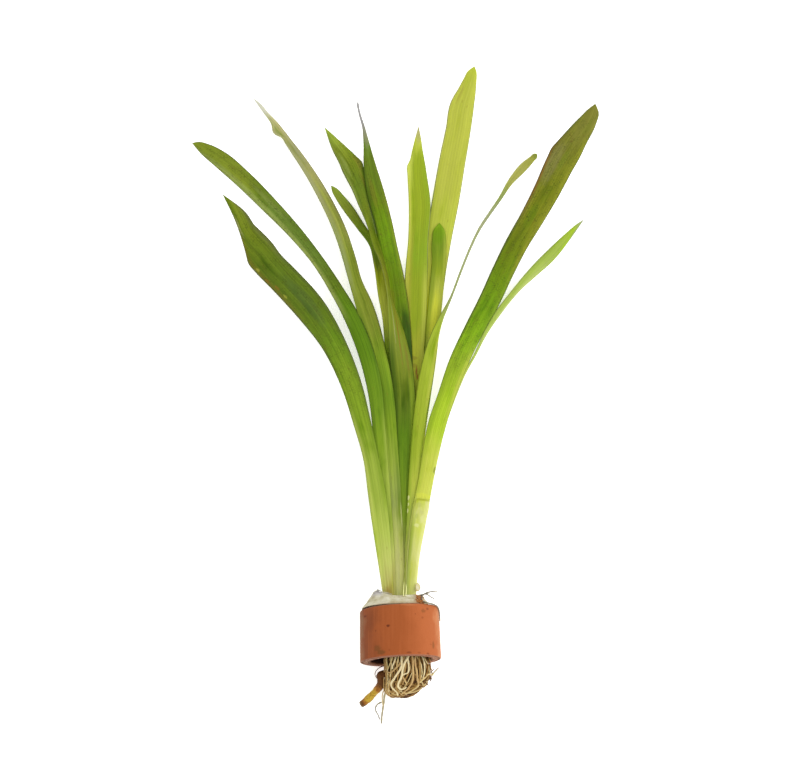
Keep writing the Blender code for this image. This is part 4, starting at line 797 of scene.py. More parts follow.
class Paint:
    """Builds one node material, with its colour so far; most methods return the socket of their result."""

    def __init__(self, name):
        self.material = bpy.data.materials.new(name)
        self.material.use_nodes = True
        self.tree = self.material.node_tree
        self.shader = self.tree.nodes["Principled BSDF"]
        self.output = self.tree.nodes["Material Output"]
        self.colour = None

    def plug(self, socket, value):
        if isinstance(value, bpy.types.NodeSocket):
            self.tree.links.new(value, socket)
        else:
            socket.default_value = value

    def add(self, kind, sockets=None, **settings):
        node = self.tree.nodes.new("ShaderNode" + kind)
        for key, value in settings.items():
            setattr(node, key, value)
        for key, value in (sockets or {}).items():
            self.plug(node.inputs[key], value)
        return node

    def value(self, name):
        return self.add("Attribute", attribute_name=name).outputs["Fac"]

    def vector(self, name):
        return self.add("Attribute", attribute_name=name).outputs["Vector"]

    def split(self, vector):
        return self.add("SeparateXYZ", {"Vector": vector}).outputs

    def math(self, operation, a, b=0.0, c=0.0):
        return self.add("Math", {0: a, 1: b, 2: c}, operation=operation).outputs["Value"]

    def times(self, a, b):
        return self.math("MULTIPLY", a, b)

    def line(self, value, slope, start):
        return self.math("MULTIPLY_ADD", value, slope, start)

    def vectors(self, operation, a, b):
        return self.add("VectorMath", {0: a, 1: b}, operation=operation).outputs["Vector"]

    def stretch(self, vector, x, y, z=1.0):
        return self.vectors("MULTIPLY", vector, (x, y, z))

    def place(self):
        return self.add("NewGeometry").outputs["Position"]

    def place_mm(self, home=None):
        """Where a point is, in millimetres, from home if it is given."""
        place = self.place()
        if home is not None:
            place = self.vectors("SUBTRACT", place, tuple(home))
        return self.stretch(place, 1 / MM, 1 / MM, 1 / MM)

    def band(self, value, low, high):
        """0 where value is at low, 1 at high, smooth between; low may be above high."""
        sockets = {"Value": value, "From Min": low, "From Max": high}
        return self.add("MapRange", sockets, interpolation_type="SMOOTHSTEP").outputs["Result"]

    def between(self, value, low, high, soft):
        """1 from low to high, 0 outside, soft at both ends."""
        rising = self.band(value, low - soft, low + soft)
        return self.times(rising, self.band(value, high + soft, high - soft))

    def oval(self, x, y, middle_x, middle_y, half_x, half_y):
        """How far out of an oval's middle x, y is, 1 at its edge."""
        off_x = self.math("DIVIDE", self.math("SUBTRACT", x, middle_x), half_x)
        off_y = self.math("DIVIDE", self.math("SUBTRACT", y, middle_y), half_y)
        return self.math("SQRT", self.math("ADD", self.times(off_x, off_x), self.times(off_y, off_y)))

    def mix(self, share, a, b, blend="MIX"):
        sockets = {0: share, 6: a, 7: b}
        return self.add("Mix", sockets, data_type="RGBA", blend_type=blend).outputs[2]

    def ramp(self, value, stops):
        """Starts the colour with stops of (place from 0 to 1, tone)."""
        node = self.add("ValToRGB", {"Fac": value})
        bar = node.color_ramp.elements
        while len(bar) > 1:
            bar.remove(bar[-1])
        bar[0].position = stops[0][0]
        bar[0].color = tone(stops[0][1])
        for place, name in stops[1:]:
            bar.new(place).color = tone(name)
        self.colour = node.outputs["Color"]

    def lay(self, there, strength, name, blend="MIX"):
        """Lays a tone over the colour so far, where there is above 0."""
        self.colour = self.mix(self.times(there, strength), self.colour, tone(name), blend)

    def noise(self, vector, scale, detail=2.0, rough=0.5, output="Fac"):
        sockets = {"Vector": vector, "Scale": scale, "Detail": detail, "Roughness": rough}
        return self.add("TexNoise", sockets).outputs[output]

    def speckle(self, vector, scale, size):
        """1 inside small round dots, one for each cell of a scattered grid."""
        cell = self.add("TexVoronoi", {"Vector": vector, "Scale": scale}).outputs["Distance"]
        return self.band(cell, size, size * 0.4)

    def jitter(self, vector, scale, reach):
        """A slow random shift of places, up to half of reach each way."""
        moved = self.vectors("SUBTRACT", self.noise(vector, scale, output="Color"), (0.5, 0.5, 0.5))
        return self.stretch(moved, reach, reach, reach)

    def bump(self, height, strength, distance):
        sockets = {"Height": height, "Strength": strength, "Distance": distance}
        self.plug(self.shader.inputs["Normal"], self.add("Bump", sockets).outputs["Normal"])

    def finish(self, roughness, specular):
        self.plug(self.shader.inputs["Base Color"], self.colour)
        self.plug(self.shader.inputs["Roughness"], roughness)
        self.shader.inputs["Specular IOR Level"].default_value = specular
        return self.material

    def let_light_through(self, share):
        """Part of the light goes through, as in a thin leaf held to a window."""
        yellower = self.mix(0.35, self.colour, (1, 1, 0.3, 1), "SOFT_LIGHT")
        through = self.add("BsdfTranslucent", {"Color": yellower})
        both = self.add("MixShader", {0: share, 1: self.shader.outputs[0], 2: through.outputs[0]})
        self.plug(self.output.inputs["Surface"], both.outputs[0])


def dress(piece, slot, *nodes, material):
    """Gives a piece its material and its body, and hides the solids that it stands for."""
    piece.data.materials.append(material)
    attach(piece, "root")
    if nodes:
        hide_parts(*nodes)


# Leaves


def stack_height(layer, y):
    """How high a layer lies: fanned round the crown near the ring, and flat on the surface further out."""
    at_crown = AXIS_Z + CROWN_PITCH * (layer - MIDDLE_LAYER)
    at_rest = LOWEST_LEAF_Z + FLAT_PITCH * layer
    droop = smooth_step((y - DROOP_FROM_Y) / (DROOP_TO_Y - DROOP_FROM_Y))
    return at_crown * (1 - droop) + at_rest * droop


def leaf_section(middle, ahead, left, right, roll):
    """One cut across a leaf: top from left to right, then the underside back; with its places across."""
    side = np.array([ahead[1], -ahead[0], 0.0])
    side /= np.linalg.norm(side)
    up = np.cross(side, ahead)
    angle = math.radians(roll)
    across = side * math.cos(angle) - up * math.sin(angle)
    normal = side * math.sin(angle) + up * math.cos(angle)
    width = (left + right) / 2
    camber = LEAF_CAMBER * min(1.0, width / FULL_CAMBER_HALF)
    thick = LEAF_THICK * min(1.0, width / FULL_CAMBER_HALF + 0.3)
    vein = VEIN_HEIGHT * min(1.0, width / FULL_CAMBER_HALF / 2)
    places = np.linspace(-1, 1, LEAF_COLUMNS)
    section = []
    for face, row in ((1, places), (-1, places[-2:0:-1])):
        for v in row:
            reach = v * (left if v < 0 else right)
            lens = 1 - v * v
            plate = 1 - abs(v) ** 5
            ridge = vein * math.cos(math.pi * VEIN_COUNT * v) * lens
            rise = camber * lens + face * (thick / 2 * plate + ridge)
            section.append(middle + across * reach + normal * rise)
    return section, np.concatenate([places, places[-2:0:-1]])


def leaf(name):
    """One blade; its points keep (place across, y) as blade and (millimetres across, along) as strip."""
    layer, rows = LEAVES[name]
    placed = []
    for x, y, lift, left, right, *roll in rows:
        placed.append((x, y, stack_height(layer, y) + lift, left, right, roll[0] if roll else 0))
    read = smooth_rows(placed, LEAF_STEP)
    ahead = directions(read[:, :3])
    torn = name in LEAVES_WITH_TORN_END
    arc = np.concatenate([[0.0], np.cumsum(np.linalg.norm(np.diff(read[:, :3], axis=0), axis=1))])
    sections, blade, strip = [], [], []
    for i in range(len(read) if torn else len(read) - 1):
        left, right = np.maximum(read[i, 3:5], LEAST_LEAF_HALF)
        section, places = leaf_section(read[i, :3], ahead[i], left, right, read[i, 5])
        sections.append(section)
        blade += [(v, read[i, 1], 0.0) for v in places]
        strip += [(v * (left if v < 0 else right), arc[i], 0.0) for v in places]
    tip = None
    if not torn:
        tip = read[-1, :3]
        blade.append((0.0, read[-1, 1], 0.0))
        strip.append((0.0, arc[-1], 0.0))
    skin = Skin(name + "_blade")
    skin.add(sections, tip, blade=blade, strip=strip)
    return skin.make()


def vein_net(p, look, y, strip, seeded):
    """Short cross veins in green and brown between low and high, in patches, over slightly uneven cells."""
    low, high, strength = look["net"]
    bend = p.vectors("ADD", seeded, p.jitter(strip, 0.35, 0.9))
    across, along = p.split(bend)[:2]
    lengthways = p.add("CombineXYZ", {"X": along, "Y": across}).outputs["Vector"]
    cells = {"Vector": lengthways, "Scale": 1.0, "Mortar Size": 0.16, "Mortar Smooth": 0.9}
    cells |= {"Brick Width": 1.9, "Row Height": 0.95}
    cells |= {"Color1": (0.1, 0.1, 0.1, 1), "Color2": (0.9, 0.9, 0.9, 1)}
    bricks = p.add("TexBrick", cells, offset=0.42)
    patchy = p.band(p.noise(p.stretch(seeded, 0.5, 0.22), 1.0, 3.0), 0.36, 0.66)
    here = p.times(patchy, p.between(y, low, high, 14))
    brown = p.band(p.noise(p.stretch(seeded, 0.4, 0.2), 1.0), look.get("net brown", 0.5), 0.7)
    net_tone = p.mix(brown, tone("net green"), tone("net brown"))
    dashes = p.band(p.noise(p.stretch(bend, 0.75, 1.9), 1.0, 1.0), 0.55, 0.66)
    p.lay(p.times(bricks.outputs["Fac"], here), strength, net_tone)
    p.lay(p.times(dashes, here), strength, net_tone)
    p.lay(p.times(p.line(bricks.outputs["Color"], 0.5, 0.0), here), strength * 0.5, "yellow olive")


def leaf_paint(name, look, seed):
    """Blade tones along the length, margins, parallel streaks, fine veins, blotches, small spots and painted
    shade along the rim.
    """
    p = Paint(name)
    v, y = p.split(p.vector("blade"))[:2]
    strip = p.vector("strip")
    wander = p.line(p.noise(p.stretch(strip, 0.4, 0.03, seed), 1.0), 0.10, -0.05)
    along = p.math("ADD", p.math("DIVIDE", y, PAINT_LENGTH), wander)
    p.ramp(along, [(at / PAINT_LENGTH, t) for at, t in look["blade"].items()])

    seeded = p.vectors("ADD", strip, (seed * 7.3, seed * 3.1, seed))
    blotch = p.noise(p.stretch(seeded, 0.22, 0.05), 1.0, 3.0)
    blotch_share = 0.35 if look["slot"] == "leaf_pale" else 1.0
    p.lay(p.band(blotch, 0.5, 0.8), blotch_share, "yellow olive", "SOFT_LIGHT")

    for key, sign in (("left", -1), ("right", 1)):
        side = p.times(v, sign)
        for margin, share, strength, low, high in look[key]:
            inside = p.band(side, 1 - share * 1.5, 1 - share * 0.5)
            p.lay(p.times(inside, p.between(y, low, high, 9)), strength, margin)

    streak = look.get("streaks", 0.18)
    for across, along, strength in ((0.45, 0.012, streak), (1.8, 0.025, streak * 0.8)):
        streaks = p.noise(p.stretch(seeded, across, along), 1.0, 3.0, 0.55)
        darker, lighter = [p.mix(strength, p.colour, (c, c, c, 1), "SOFT_LIGHT") for c in (0, 1)]
        p.colour = p.mix(p.band(streaks, 0.32, 0.70), darker, lighter)

    ragged = p.line(p.noise(p.stretch(seeded, 1.6, 0.8), 1.0, 3.0), 0.9, 0.55)
    for mark_v, mark_y, half_v, half_y, stain, strength in look["marks"]:
        off = p.oval(v, y, mark_v, mark_y, half_v, half_y)
        p.lay(p.band(p.times(off, ragged), 1.25, 0.55), strength, stain)

    fine = p.line(p.math("COSINE", p.times(v, math.pi * VEIN_COUNT * 2)), 0.5, 0.5)
    p.lay(fine, 0.08, (0.01, 0.02, 0.0, 1))
    if "net" in look:
        vein_net(p, look, y, strip, seeded)
    p.lay(p.speckle(p.stretch(seeded, 0.28, 0.11), 1.0, 0.11), 0.25, "umber")
    # Painted shade along the rim from y 55 on, where the blade curves away from the light
    rim = p.times(p.band(p.math("ABSOLUTE", v), 0.88, 1.0), p.band(y, 55, 125))
    p.lay(rim, RIM_SHADE[look["slot"]], "edge")

    grain = p.noise(p.stretch(seeded, 6.0, 0.8), 1.0)
    p.bump(p.math("ADD", p.times(fine, 0.6), p.times(grain, 0.4)), 0.35, 0.00012)
    p.let_light_through(look["light"])
    return p.finish(p.line(grain, 0.2, 0.36), 0.1)


def make_leaves():
    for seed, (name, look) in enumerate(PAINT.items(), 1):
        dress(leaf(name), look["slot"], name, material=leaf_paint(name, look, seed))


# Clay ring


def ring_profile():
    """The ring's wall cut along its axis, with soft worn edges: (distance from the axis, place along it)."""
    corners = [(r, end * RING_HEIGHT / 2, soft) for r, end, soft in RING_CORNERS]
    points = []
    for i, (r, h, soft) in enumerate(corners):
        before = np.array(corners[i - 1][:2])
        after = np.array(corners[(i + 1) % 4][:2])
        here = np.array([r, h])
        to_before = (before - here) / np.linalg.norm(before - here)
        to_after = (after - here) / np.linalg.norm(after - here)
        for t in np.linspace(0, 1, CORNER_POINTS):
            points.append(here + (1 - t) ** 2 * to_before * soft + t * t * to_after * soft)
        length = np.linalg.norm(after - here)
        for t in np.linspace(0.12, 0.88, max(3, int(length / WALL_POINT_STEP))):
            points.append(here + (after - here) * t)
    return points


def clay_noise(angle, h):
    """A hand-made unevenness in the wall, in millimetres, almost all of it inwards."""
    slow = 0.10 * math.sin(2 * angle + 0.7) + 0.06 * math.sin(5 * angle + h * 0.2)
    quick = 0.03 * math.sin(17 * angle + 1.3 * h) + 0.025 * math.sin(31 * angle - 0.9 * h)
    return (slow + quick) * 0.5 - 0.1


def turned(x, y, degrees):
    """A place turned about the ring's middle, seen from above."""
    c, s = math.cos(math.radians(degrees)), math.sin(math.radians(degrees))
    return x * c - y * s, x * s + y * c


def clay_ring():
    slope = math.tan(math.radians(RIM_SLOPE))
    sections, wall = [], []
    for angle, c, s in circle(RING_SIDES):
        section = []
        for r, h in ring_profile():
            grow = r + clay_noise(angle, h)
            section.append((*turned(grow * c, h + grow * c * slope, RING_LEAN), AXIS_Z + grow * s))
            wall.append((c, h, r))
        sections.append(section)
    skin = Skin("clay_ring_fired")
    skin.add(sections, ring_shut=True, wall=wall)
    dress(skin.make(), "clay", "clay_ring", material=clay_paint())


def clay_paint():
    """Terracotta with painted shade to the left and a painted highlight to the right, dusty ends, painted
    shade in its bore, and stains.
    """
    p = Paint("clay")
    side, h, r = p.split(p.vector("wall"))[:3]
    mm = p.place_mm(HOME)
    x, y, z = p.split(mm)[:3]
    cloud = p.noise(mm, 0.14, 3.0)
    # Painted light and shade: darker to the left and lighter to the right, as lit from the right
    p.ramp(p.math("ADD", p.line(side, 0.5, 0.5), p.line(cloud, 0.24, -0.12)), CLAY_STOPS)
    streak = p.noise(p.stretch(mm, 1.2, 0.05, 1.2), 0.7, 3.0)
    p.lay(p.band(streak, 0.45, 0.75), 0.30, "clay light")
    grain = p.noise(mm, 3.5, 4.0, 0.65)
    p.lay(p.band(grain, 0.45, 0.8), 0.22, "clay dark")
    specks = p.speckle(mm, 0.22, 0.10)
    p.lay(specks, 0.35, "clay stain")

    end = p.math("ABSOLUTE", h)
    p.lay(p.band(end, RING_HEIGHT / 2 - 0.40, RING_HEIGHT / 2 - 0.02), 0.6, "clay dust")
    # Painted shade inside the bore, darkest deep inside it
    p.lay(p.band(r, RING_INNER_R + 1.2, RING_INNER_R + 0.2), 0.6, "clay shade")
    hole = p.band(r, RING_INNER_R + 0.35, RING_INNER_R + 0.05)
    p.lay(hole, p.band(end, 11.0, 10.0), "clay hole")

    upper = p.band(z, AXIS_Z, AXIS_Z + 4.0)
    ragged = p.line(p.noise(mm, 1.1, 3.0), 1.0, 0.5)
    for stain_x, stain_y, half_x, half_y, stain, strength in CLAY_STAINS:
        off = p.oval(x, y, stain_x, stain_y, half_x, half_y)
        p.lay(p.times(p.band(p.times(off, ragged), 1.3, 0.5), upper), strength, stain)
    p.bump(p.math("SUBTRACT", p.times(grain, 0.6), specks), 0.4, 0.0003)
    return p.finish(p.line(grain, 0.2, 0.74), 0.15)


# Wool and crown


def hole_reach(grow):
    """How far the hole for the crown reaches in a direction c, s: a little squarer than an oval."""

    def reach(c, s):
        x = abs(c) / (HOLE_HALF_X + grow)
        z = abs(s) / (HOLE_HALF_Z + grow)
        return (x**4 + z**4) ** -0.25

    return reach


def outside_reach(left, right, front):
    """How far the wool reaches in a direction c, s, with its own radius at each side."""

    def reach(c, s):
        side = left if c < 0 else right
        return side * c * c + front * s * s

    return reach


def wool_section(y_left, y_right, y_front, y_back, reach, turn=0.0):
    """One ring of the wool's skin, with its own y at each side."""
    points = []
    for _, c, s in circle(WOOL_COLUMNS):
        y_side = y_left if c < 0 else y_right
        y_face = y_front if s > 0 else y_back
        y = y_side * c * c + y_face * s * s
        points.append((*turned(reach(c, s) * c, y, turn), AXIS_Z + reach(c, s) * s))
    return points


def wool_sections():
    """The wool's skin, up the outside, over the lip and down the hole."""
    sections = []
    for y, left, right, front in WOOL_OUTSIDE:
        rise = smooth_step((y - WOOL_SWELL_Y) / WOOL_SWELL_LENGTH)
        heights = [y + rise * (lip - WOOL_TOP_Y) * 0.8 for lip in WOOL_LIP_Y]
        sections.append(wool_section(*heights, outside_reach(left, right, front), RING_TURN))
    sections.append(wool_section(*WOOL_LIP_Y, hole_reach(0.9)))
    sections.append(wool_section(*[y - 0.9 for y in WOOL_LIP_Y], hole_reach(0.0)))
    for y in (HOLE_SHUT_Y, WOOL_OUTSIDE[0][0]):
        sections.append(wool_section(y, y, y, y, hole_reach(HOLE_SHUT)))
    return np.array(sections)


def soften(sections, cuts):
    """More sections between the given ones, on smooth curves through them."""
    last = len(sections) - 1
    read = []
    for i in range(last):
        slope_near = (sections[i + 1] - sections[max(i - 1, 0)]) * 0.35
        slope_far = (sections[min(i + 2, last)] - sections[i]) * 0.35
        for k in range(cuts):
            read.append(on_curve(k / cuts, sections[i], sections[i + 1], slope_near, slope_far))
    return np.array(read + [sections[-1]])


def lumps(points, size, height, seed):
    """Smooth unevenness from a few waves in all directions."""
    rng = np.random.default_rng(seed)
    total = np.zeros(points.shape[:-1])
    for _ in range(LUMP_WAVES):
        wave = rng.normal(size=3)
        wave *= (0.6 + rng.random()) * 2 * math.pi / size / np.linalg.norm(wave)
        total += np.sin(points @ wave + rng.random() * 2 * math.pi)
    return total / LUMP_WAVES**0.5 * height


def outwards(points, middle):
    """The direction of each point from the middle, one long."""
    away = points - middle
    return away / np.linalg.norm(away, axis=2)[:, :, None]


def wool_plug():
    """The wool, lumpy where it stands out of the ring."""
    rows = soften(wool_sections(), WOOL_CUTS)
    outside = np.clip((rows[:, :, 1] - LUMPY_FROM_Y) / LUMPY_RISE, 0, 1)[:, :, None]
    swell = np.clip(lumps(rows, 4.5, 0.22, 3) + lumps(rows, 1.3, 0.09, 4), -0.6, 0.3)
    skin = Skin("wool_plug_felted")
    skin.add(rows + outwards(rows, WOOL_MIDDLE) * swell[:, :, None] * outside, ring_shut=True)
    dress(skin.make(), "wool", "wool_plug", material=wool_paint())


def wool_fibres():
    """Short loose fibres that lie on the wool, many of them at its torn left corner."""
    skin = Skin("wool_fibres")
    low, _, rim = wool_sections()[-6:-3]
    for i in range(WOOL_FIBRES):
        at_corner = i < CORNER_FIBRES
        angle = RNG.gauss(TORN_CORNER_ANGLE, 0.30) if at_corner else RNG.uniform(0.0, 2 * math.pi)
        column = int(angle / (2 * math.pi) * WOOL_COLUMNS) % WOOL_COLUMNS
        start = low[column] + (rim[column] - low[column]) * RNG.uniform(0.2, 0.9)
        near = rim[(column + RNG.choice((-9, -6, 5, 8))) % WOOL_COLUMNS]
        lift = RNG.uniform(0.2, 1.0) if at_corner else RNG.uniform(0.0, 0.25)
        end = near + np.array([RNG.gauss(0, 0.3), lift, RNG.gauss(0, 0.3)])
        bow = np.array([RNG.gauss(0, 0.3), RNG.gauss(0, 0.3), RNG.uniform(0.1, 0.5)])
        path = [start + (end - start) * t + bow * math.sin(math.pi * t) for t in np.linspace(0, 1, 9)]
        add_tube(skin, np.array(path), np.linspace(0.11, 0.06, 9), 6, RNG.random())
    dress(skin.make(), "wool", material=wool_paint())


def wool_paint():
    """Mineral wool: lilac at its torn left corner, tan along the clay, rusty under the roots at the right."""
    p = Paint("wool")
    mm = p.place_mm(HOME)
    x, y, z = p.split(mm)[:3]
    cloud = p.noise(mm, 0.30, 3.0)
    p.ramp(cloud, [(0.32, "wool shade"), (0.48, "wool"), (0.68, "wool white")])
    threads = p.noise(p.stretch(mm, 0.8, 2.6, 2.6), 1.3, 4.0, 0.7)
    p.lay(p.band(threads, 0.5, 0.75), 0.35, "wool shade")
    corner = p.times(p.band(x, -6.5, -8.5), p.band(y, 15.0, 17.5))
    p.lay(p.times(corner, p.band(z, AXIS_Z, AXIS_Z + 4.0)), 0.6, "wool lilac")
    low = p.math("ADD", p.line(x, -0.09, y), p.line(cloud, 2.0, -1.0))
    p.lay(p.band(low, 13.6, 12.2), 0.6, "wool tan")
    arcs = p.math("SINE", p.times(low, 5.2))
    p.lay(p.band(arcs, 0.35, 1.0), 0.22, "wool shade")
    right = p.between(x, 6.6, 10.0, 1.6)
    p.lay(p.times(right, p.band(cloud, 0.30, 0.55)), 0.75, "wool rust")
    p.bump(threads, 0.5, 0.0004)
    return p.finish(0.9, 0.1)


def crown_paint():
    p = Paint("crown")
    lines = p.noise(p.stretch(p.place_mm(), 1.5, 0.15, 1.5), 1.0, 3.0)
    p.ramp(lines, [(0.3, (0.40, 0.36, 0.16, 1)), (0.6, (0.62, 0.58, 0.33, 1)), (0.8, (0.75, 0.72, 0.50, 1))])
    p.bump(lines, 0.4, 0.0003)
    return p.finish(0.55, 0.4)


# Roots


def tube_sections(points, radii, sides):
    """Rings of points round a path; the rings keep their turn from one to the next."""
    ahead = directions(points)
    side = np.cross(ahead[0], (0.0, 0.0, 1.0))
    if np.linalg.norm(side) < 0.1:
        side = np.cross(ahead[0], (1.0, 0.0, 0.0))
    angles = 2 * math.pi * np.arange(sides) / sides
    sections = []
    for point, along, radius in zip(points, ahead, radii):
        side = side - along * (side @ along)
        side /= np.linalg.norm(side)
        up = np.cross(side, along)
        ring = np.outer(np.cos(angles), side) + np.outer(np.sin(angles), up)
        sections.append(point + radius * ring)
    return sections


def add_tube(skin, points, radii, sides, tint):
    sections = tube_sections(points, radii, sides)
    far = points[-1] + (points[-1] - points[-2]) * 0.3
    length = np.repeat(np.linspace(0, 1, len(sections)), sides)
    skin.add(sections, far, tint=tint, length=np.append(length, 1.0))


def add_root(skin, points, thick, thin, sides, tint, step=0.3):
    """A root through the points, with its radius at the start and at the tip."""
    read = smooth_rows(points, step)
    add_tube(skin, read, np.linspace(thick, thin, len(read)), sides, tint)


def tuft_at(y):
    """The tuft's middle and half sizes at y, as (x, z, half width, half height)."""
    rows = np.array(TUFT)[::-1]
    return [np.interp(y, rows[:, 0], rows[:, k]) for k in range(1, 5)]


def strand(start, drift, depth, low_y, turn, reach):
    """A root down the tuft's outside that bends round near its lowest place, low_y, and may climb again."""
    waves = [(RNG.uniform(3.0, 9.0), RNG.random() * 6.3, RNG.gauss(0.0, 0.4)) for _ in range(4)]
    points = []
    for t in np.linspace(0, 1, STRAND_POINTS):
        y = STRAND_TOP_Y + (low_y - STRAND_TOP_Y) * math.sin(reach * t)
        sway = [height * t * math.sin(rate * t + phase) for rate, phase, height in waves]
        angle = start + drift * t + turn * smooth_step((reach * t - 1.0) / 0.9) + (sway[0] + sway[1]) / 9.0
        out = min(depth + (sway[2] + sway[3]) / 22.0, 1.0)
        x, z, half_x, half_z = tuft_at(y)
        points.append((x + half_x * out * math.cos(angle), y, z + half_z * out * math.sin(angle)))
    return np.array(points)


def on_tuft(x, y, lift):
    """How high the tuft's face lies at x, y, with a root lifted off it."""
    middle_x, middle_z, half_x, half_z = tuft_at(y)
    off = min(abs(x - middle_x) / half_x, 0.98)
    return middle_z + (half_z + lift) * math.sqrt(1 - off * off)


def tuft_core():
    """The dark inside of the tuft, which shows between its strands."""
    sections = []
    for y in np.linspace(CORE_TOP_Y, CORE_LOW_Y, CORE_ROWS):
        x, z, half_x, half_z = tuft_at(y)
        wide, high = half_x * CORE_SHARE, half_z * CORE_SHARE
        sections.append([(x + wide * c, y, z + high * s) for _, c, s in circle(CORE_SIDES)])
    sections = np.array(sections)
    swell = np.clip(lumps(sections, 3.5, 0.8, 8), -1.2, 0.6)
    sections += outwards(sections, sections.mean(axis=1, keepdims=True)) * swell[:, :, None]
    core = Skin("root_tuft_core")
    core.add(sections)
    dress(core.make(), "roots", "root_tuft", material=dark_root_paint())


def root_strands():
    """Random strands in layers, and over them the listed roots."""
    strands = Skin("root_strands")
    for depth_low, depth_high, number, tints in STRAND_LAYERS:
        for i in range(number):
            start = 2 * math.pi * (i + RNG.random()) / number
            low_y = STRAND_LOW_Y + 8.0 * RNG.random() ** 2
            reach = RNG.uniform(1.3, 2.3)
            turn = RNG.choice((-1, 1)) * RNG.uniform(0.3, 1.5)
            drift, depth = RNG.gauss(0.0, 0.4), RNG.uniform(depth_low, depth_high)
            points = strand(start, drift, depth, low_y, turn, reach)
            radii = RNG.uniform(0.18, 0.40) * (1 - 0.35 * np.linspace(0, 1, len(points)) ** 2)
            add_tube(strands, points, radii, 8, RNG.choice(tints))
    for name, radius, lift, points in FACE_ROOTS:
        if points[0][1] > FROM_RING_Y:
            points = [(points[0][0] * 0.9, FACE_ROOT_TOP_Y)] + points
        read = smooth_rows([(x, y, on_tuft(x, y, lift - radius)) for x, y in points], 0.35)
        radii = radius * (1 - 0.3 * np.linspace(0, 1, len(read)) ** 3) * (1 + lumps(read, 2.0, 0.10, 9))
        add_tube(strands, read, radii, 10, ROOT_TINTS[name])
    for points in HAIR_ROOTS:
        add_root(strands, points, 0.20, 0.14, 6, ROOT_TINTS["brown"])
    for radius, name, points in EDGE_ROOTS:
        add_root(strands, points, radius, radius * 0.8, 8, ROOT_TINTS[name])
    dress(strands.make(), "roots", material=strand_paint("root_strands", STRAND_STOPS))


def strand_paint(name, stops):
    p = Paint(name)
    place = p.place_mm()
    shade = p.line(p.noise(place, 0.6, 3.0), 0.36, -0.18)
    p.ramp(p.math("ADD", p.value("tint"), shade), stops)
    p.bump(p.noise(place, 4.0, 3.0), 0.4, 0.0002)
    return p.finish(0.6, 0.15)


def dark_root_paint():
    p = Paint("root_core")
    cloud = p.noise(p.place_mm(), 0.5, 4.0)
    p.ramp(cloud, [(0.35, "root dark"), (0.55, "root brown"), (0.75, "root gold")])
    p.bump(cloud, 0.6, 0.0005)
    return p.finish(0.75, 0.1)


def runner_paint():
    p = Paint("runner")
    place = p.place_mm()
    wander = p.line(p.noise(place, 0.6, 3.0), 0.12, -0.06)
    p.ramp(p.math("ADD", p.value("length"), wander), RUNNER_STOPS)
    streak = p.noise(place, 1.1, 3.0)
    p.lay(p.band(streak, 0.50, 0.66), 0.55, "runner orange", "MULTIPLY")
    p.bump(streak, 0.4, 0.0003)
    return p.finish(0.6, 0.08)


def runner():
    read = smooth_rows(RUNNER, 0.5)
    wave = lumps(read[:, :3], 4.0, 0.12, 5)
    sections = np.array(tube_sections(read[:, :3], read[:, 3] + wave, RUNNER_SIDES))
    away = outwards(sections, sections.mean(axis=1, keepdims=True))
    sections += away * lumps(sections, 1.6, 0.10, 6)[:, :, None]
    skin = Skin("runner_cut")
    skin.add(sections, length=np.repeat(np.linspace(0, 1, len(sections)), RUNNER_SIDES))
    dress(skin.make(), "runner", "runner_stub", material=runner_paint())


def single_roots():
    for name, (thick, thin, points) in SINGLE_ROOTS.items():
        read = smooth_rows(points, 0.35)
        radii = np.linspace(thick, thin, len(read)) * (1 + 0.12 * np.sin(np.arange(len(read)) * 0.9))
        skin = Skin(name + "_fine")
        add_tube(skin, read, radii, 12, 0.5)
        dress(skin.make(), "fine_root", name, material=fine_root_paint(name))


def fine_root_paint(name):
    p = Paint(name)
    start, end = FINE_ROOT_TONES[name]
    p.ramp(p.value("length"), [(0.1, start), (0.9, end)])
    skin = p.noise(p.place_mm(), 2.0, 3.0)
    p.lay(skin, 0.4, (0.15, 0.10, 0.05, 1))
    p.bump(skin, 0.3, 0.0002)
    return p.finish(0.5, 0.4)


# Things on the wool: roots, hairs, two slivers of leaf and the dry scale


def top_at(x, y, lift):
    """A place just above what lies uppermost at x, y."""
    bpy.context.view_layer.update()
    above = HOME + Vector((x, y, 80.0)) * MM
    graph = bpy.context.evaluated_depsgraph_get()
    found, place = bpy.context.scene.ray_cast(graph, above, Vector((0.0, 0.0, -1.0)))[:2]
    height = (place - HOME).z / MM if found else 0.0
    return (x, y, max(height, AXIS_Z + 8.0) + lift)


def wool_roots():
    skin = Skin("wool_roots")
    for radius, name, points in WOOL_ROOTS:
        placed = [top_at(x, y, radius * 0.6) for x, y in points]
        add_root(skin, placed, radius, radius * 0.6, 8, ROOT_TINTS[name])
    for _ in range(LOOSE_WOOL_ROOTS):
        x, y = RNG.gauss(LOOSE_ROOTS_X, 0.8), RNG.gauss(LOOSE_ROOTS_Y, 0.8)
        turn, reach = RNG.uniform(-0.8, 1.4), RNG.uniform(0.5, 1.6)
        ends = [(x, y), (x + reach * math.cos(turn), y + reach * math.sin(turn))]
        middle = [(a + b) / 2 + RNG.gauss(0, 0.2) for a, b in zip(*ends)]
        placed = [top_at(*ends[0], 0.05), top_at(*middle, 0.35), top_at(*ends[1], 0.15)]
        add_root(skin, placed, 0.10, 0.05, 6, RNG.choice((0.2, 0.4, 0.6, 0.8)), step=0.2)
    dress(skin.make(), "roots", material=strand_paint("rust_roots", RUST_ROOT_STOPS))

    hairs = Skin("wool_hairs")
    for radius, points in WOOL_HAIRS:
        add_root(hairs, points, radius, radius * 0.7, 8, 0.5)
    dress(hairs.make(), "fine_root", material=fine_root_paint("top_root"))


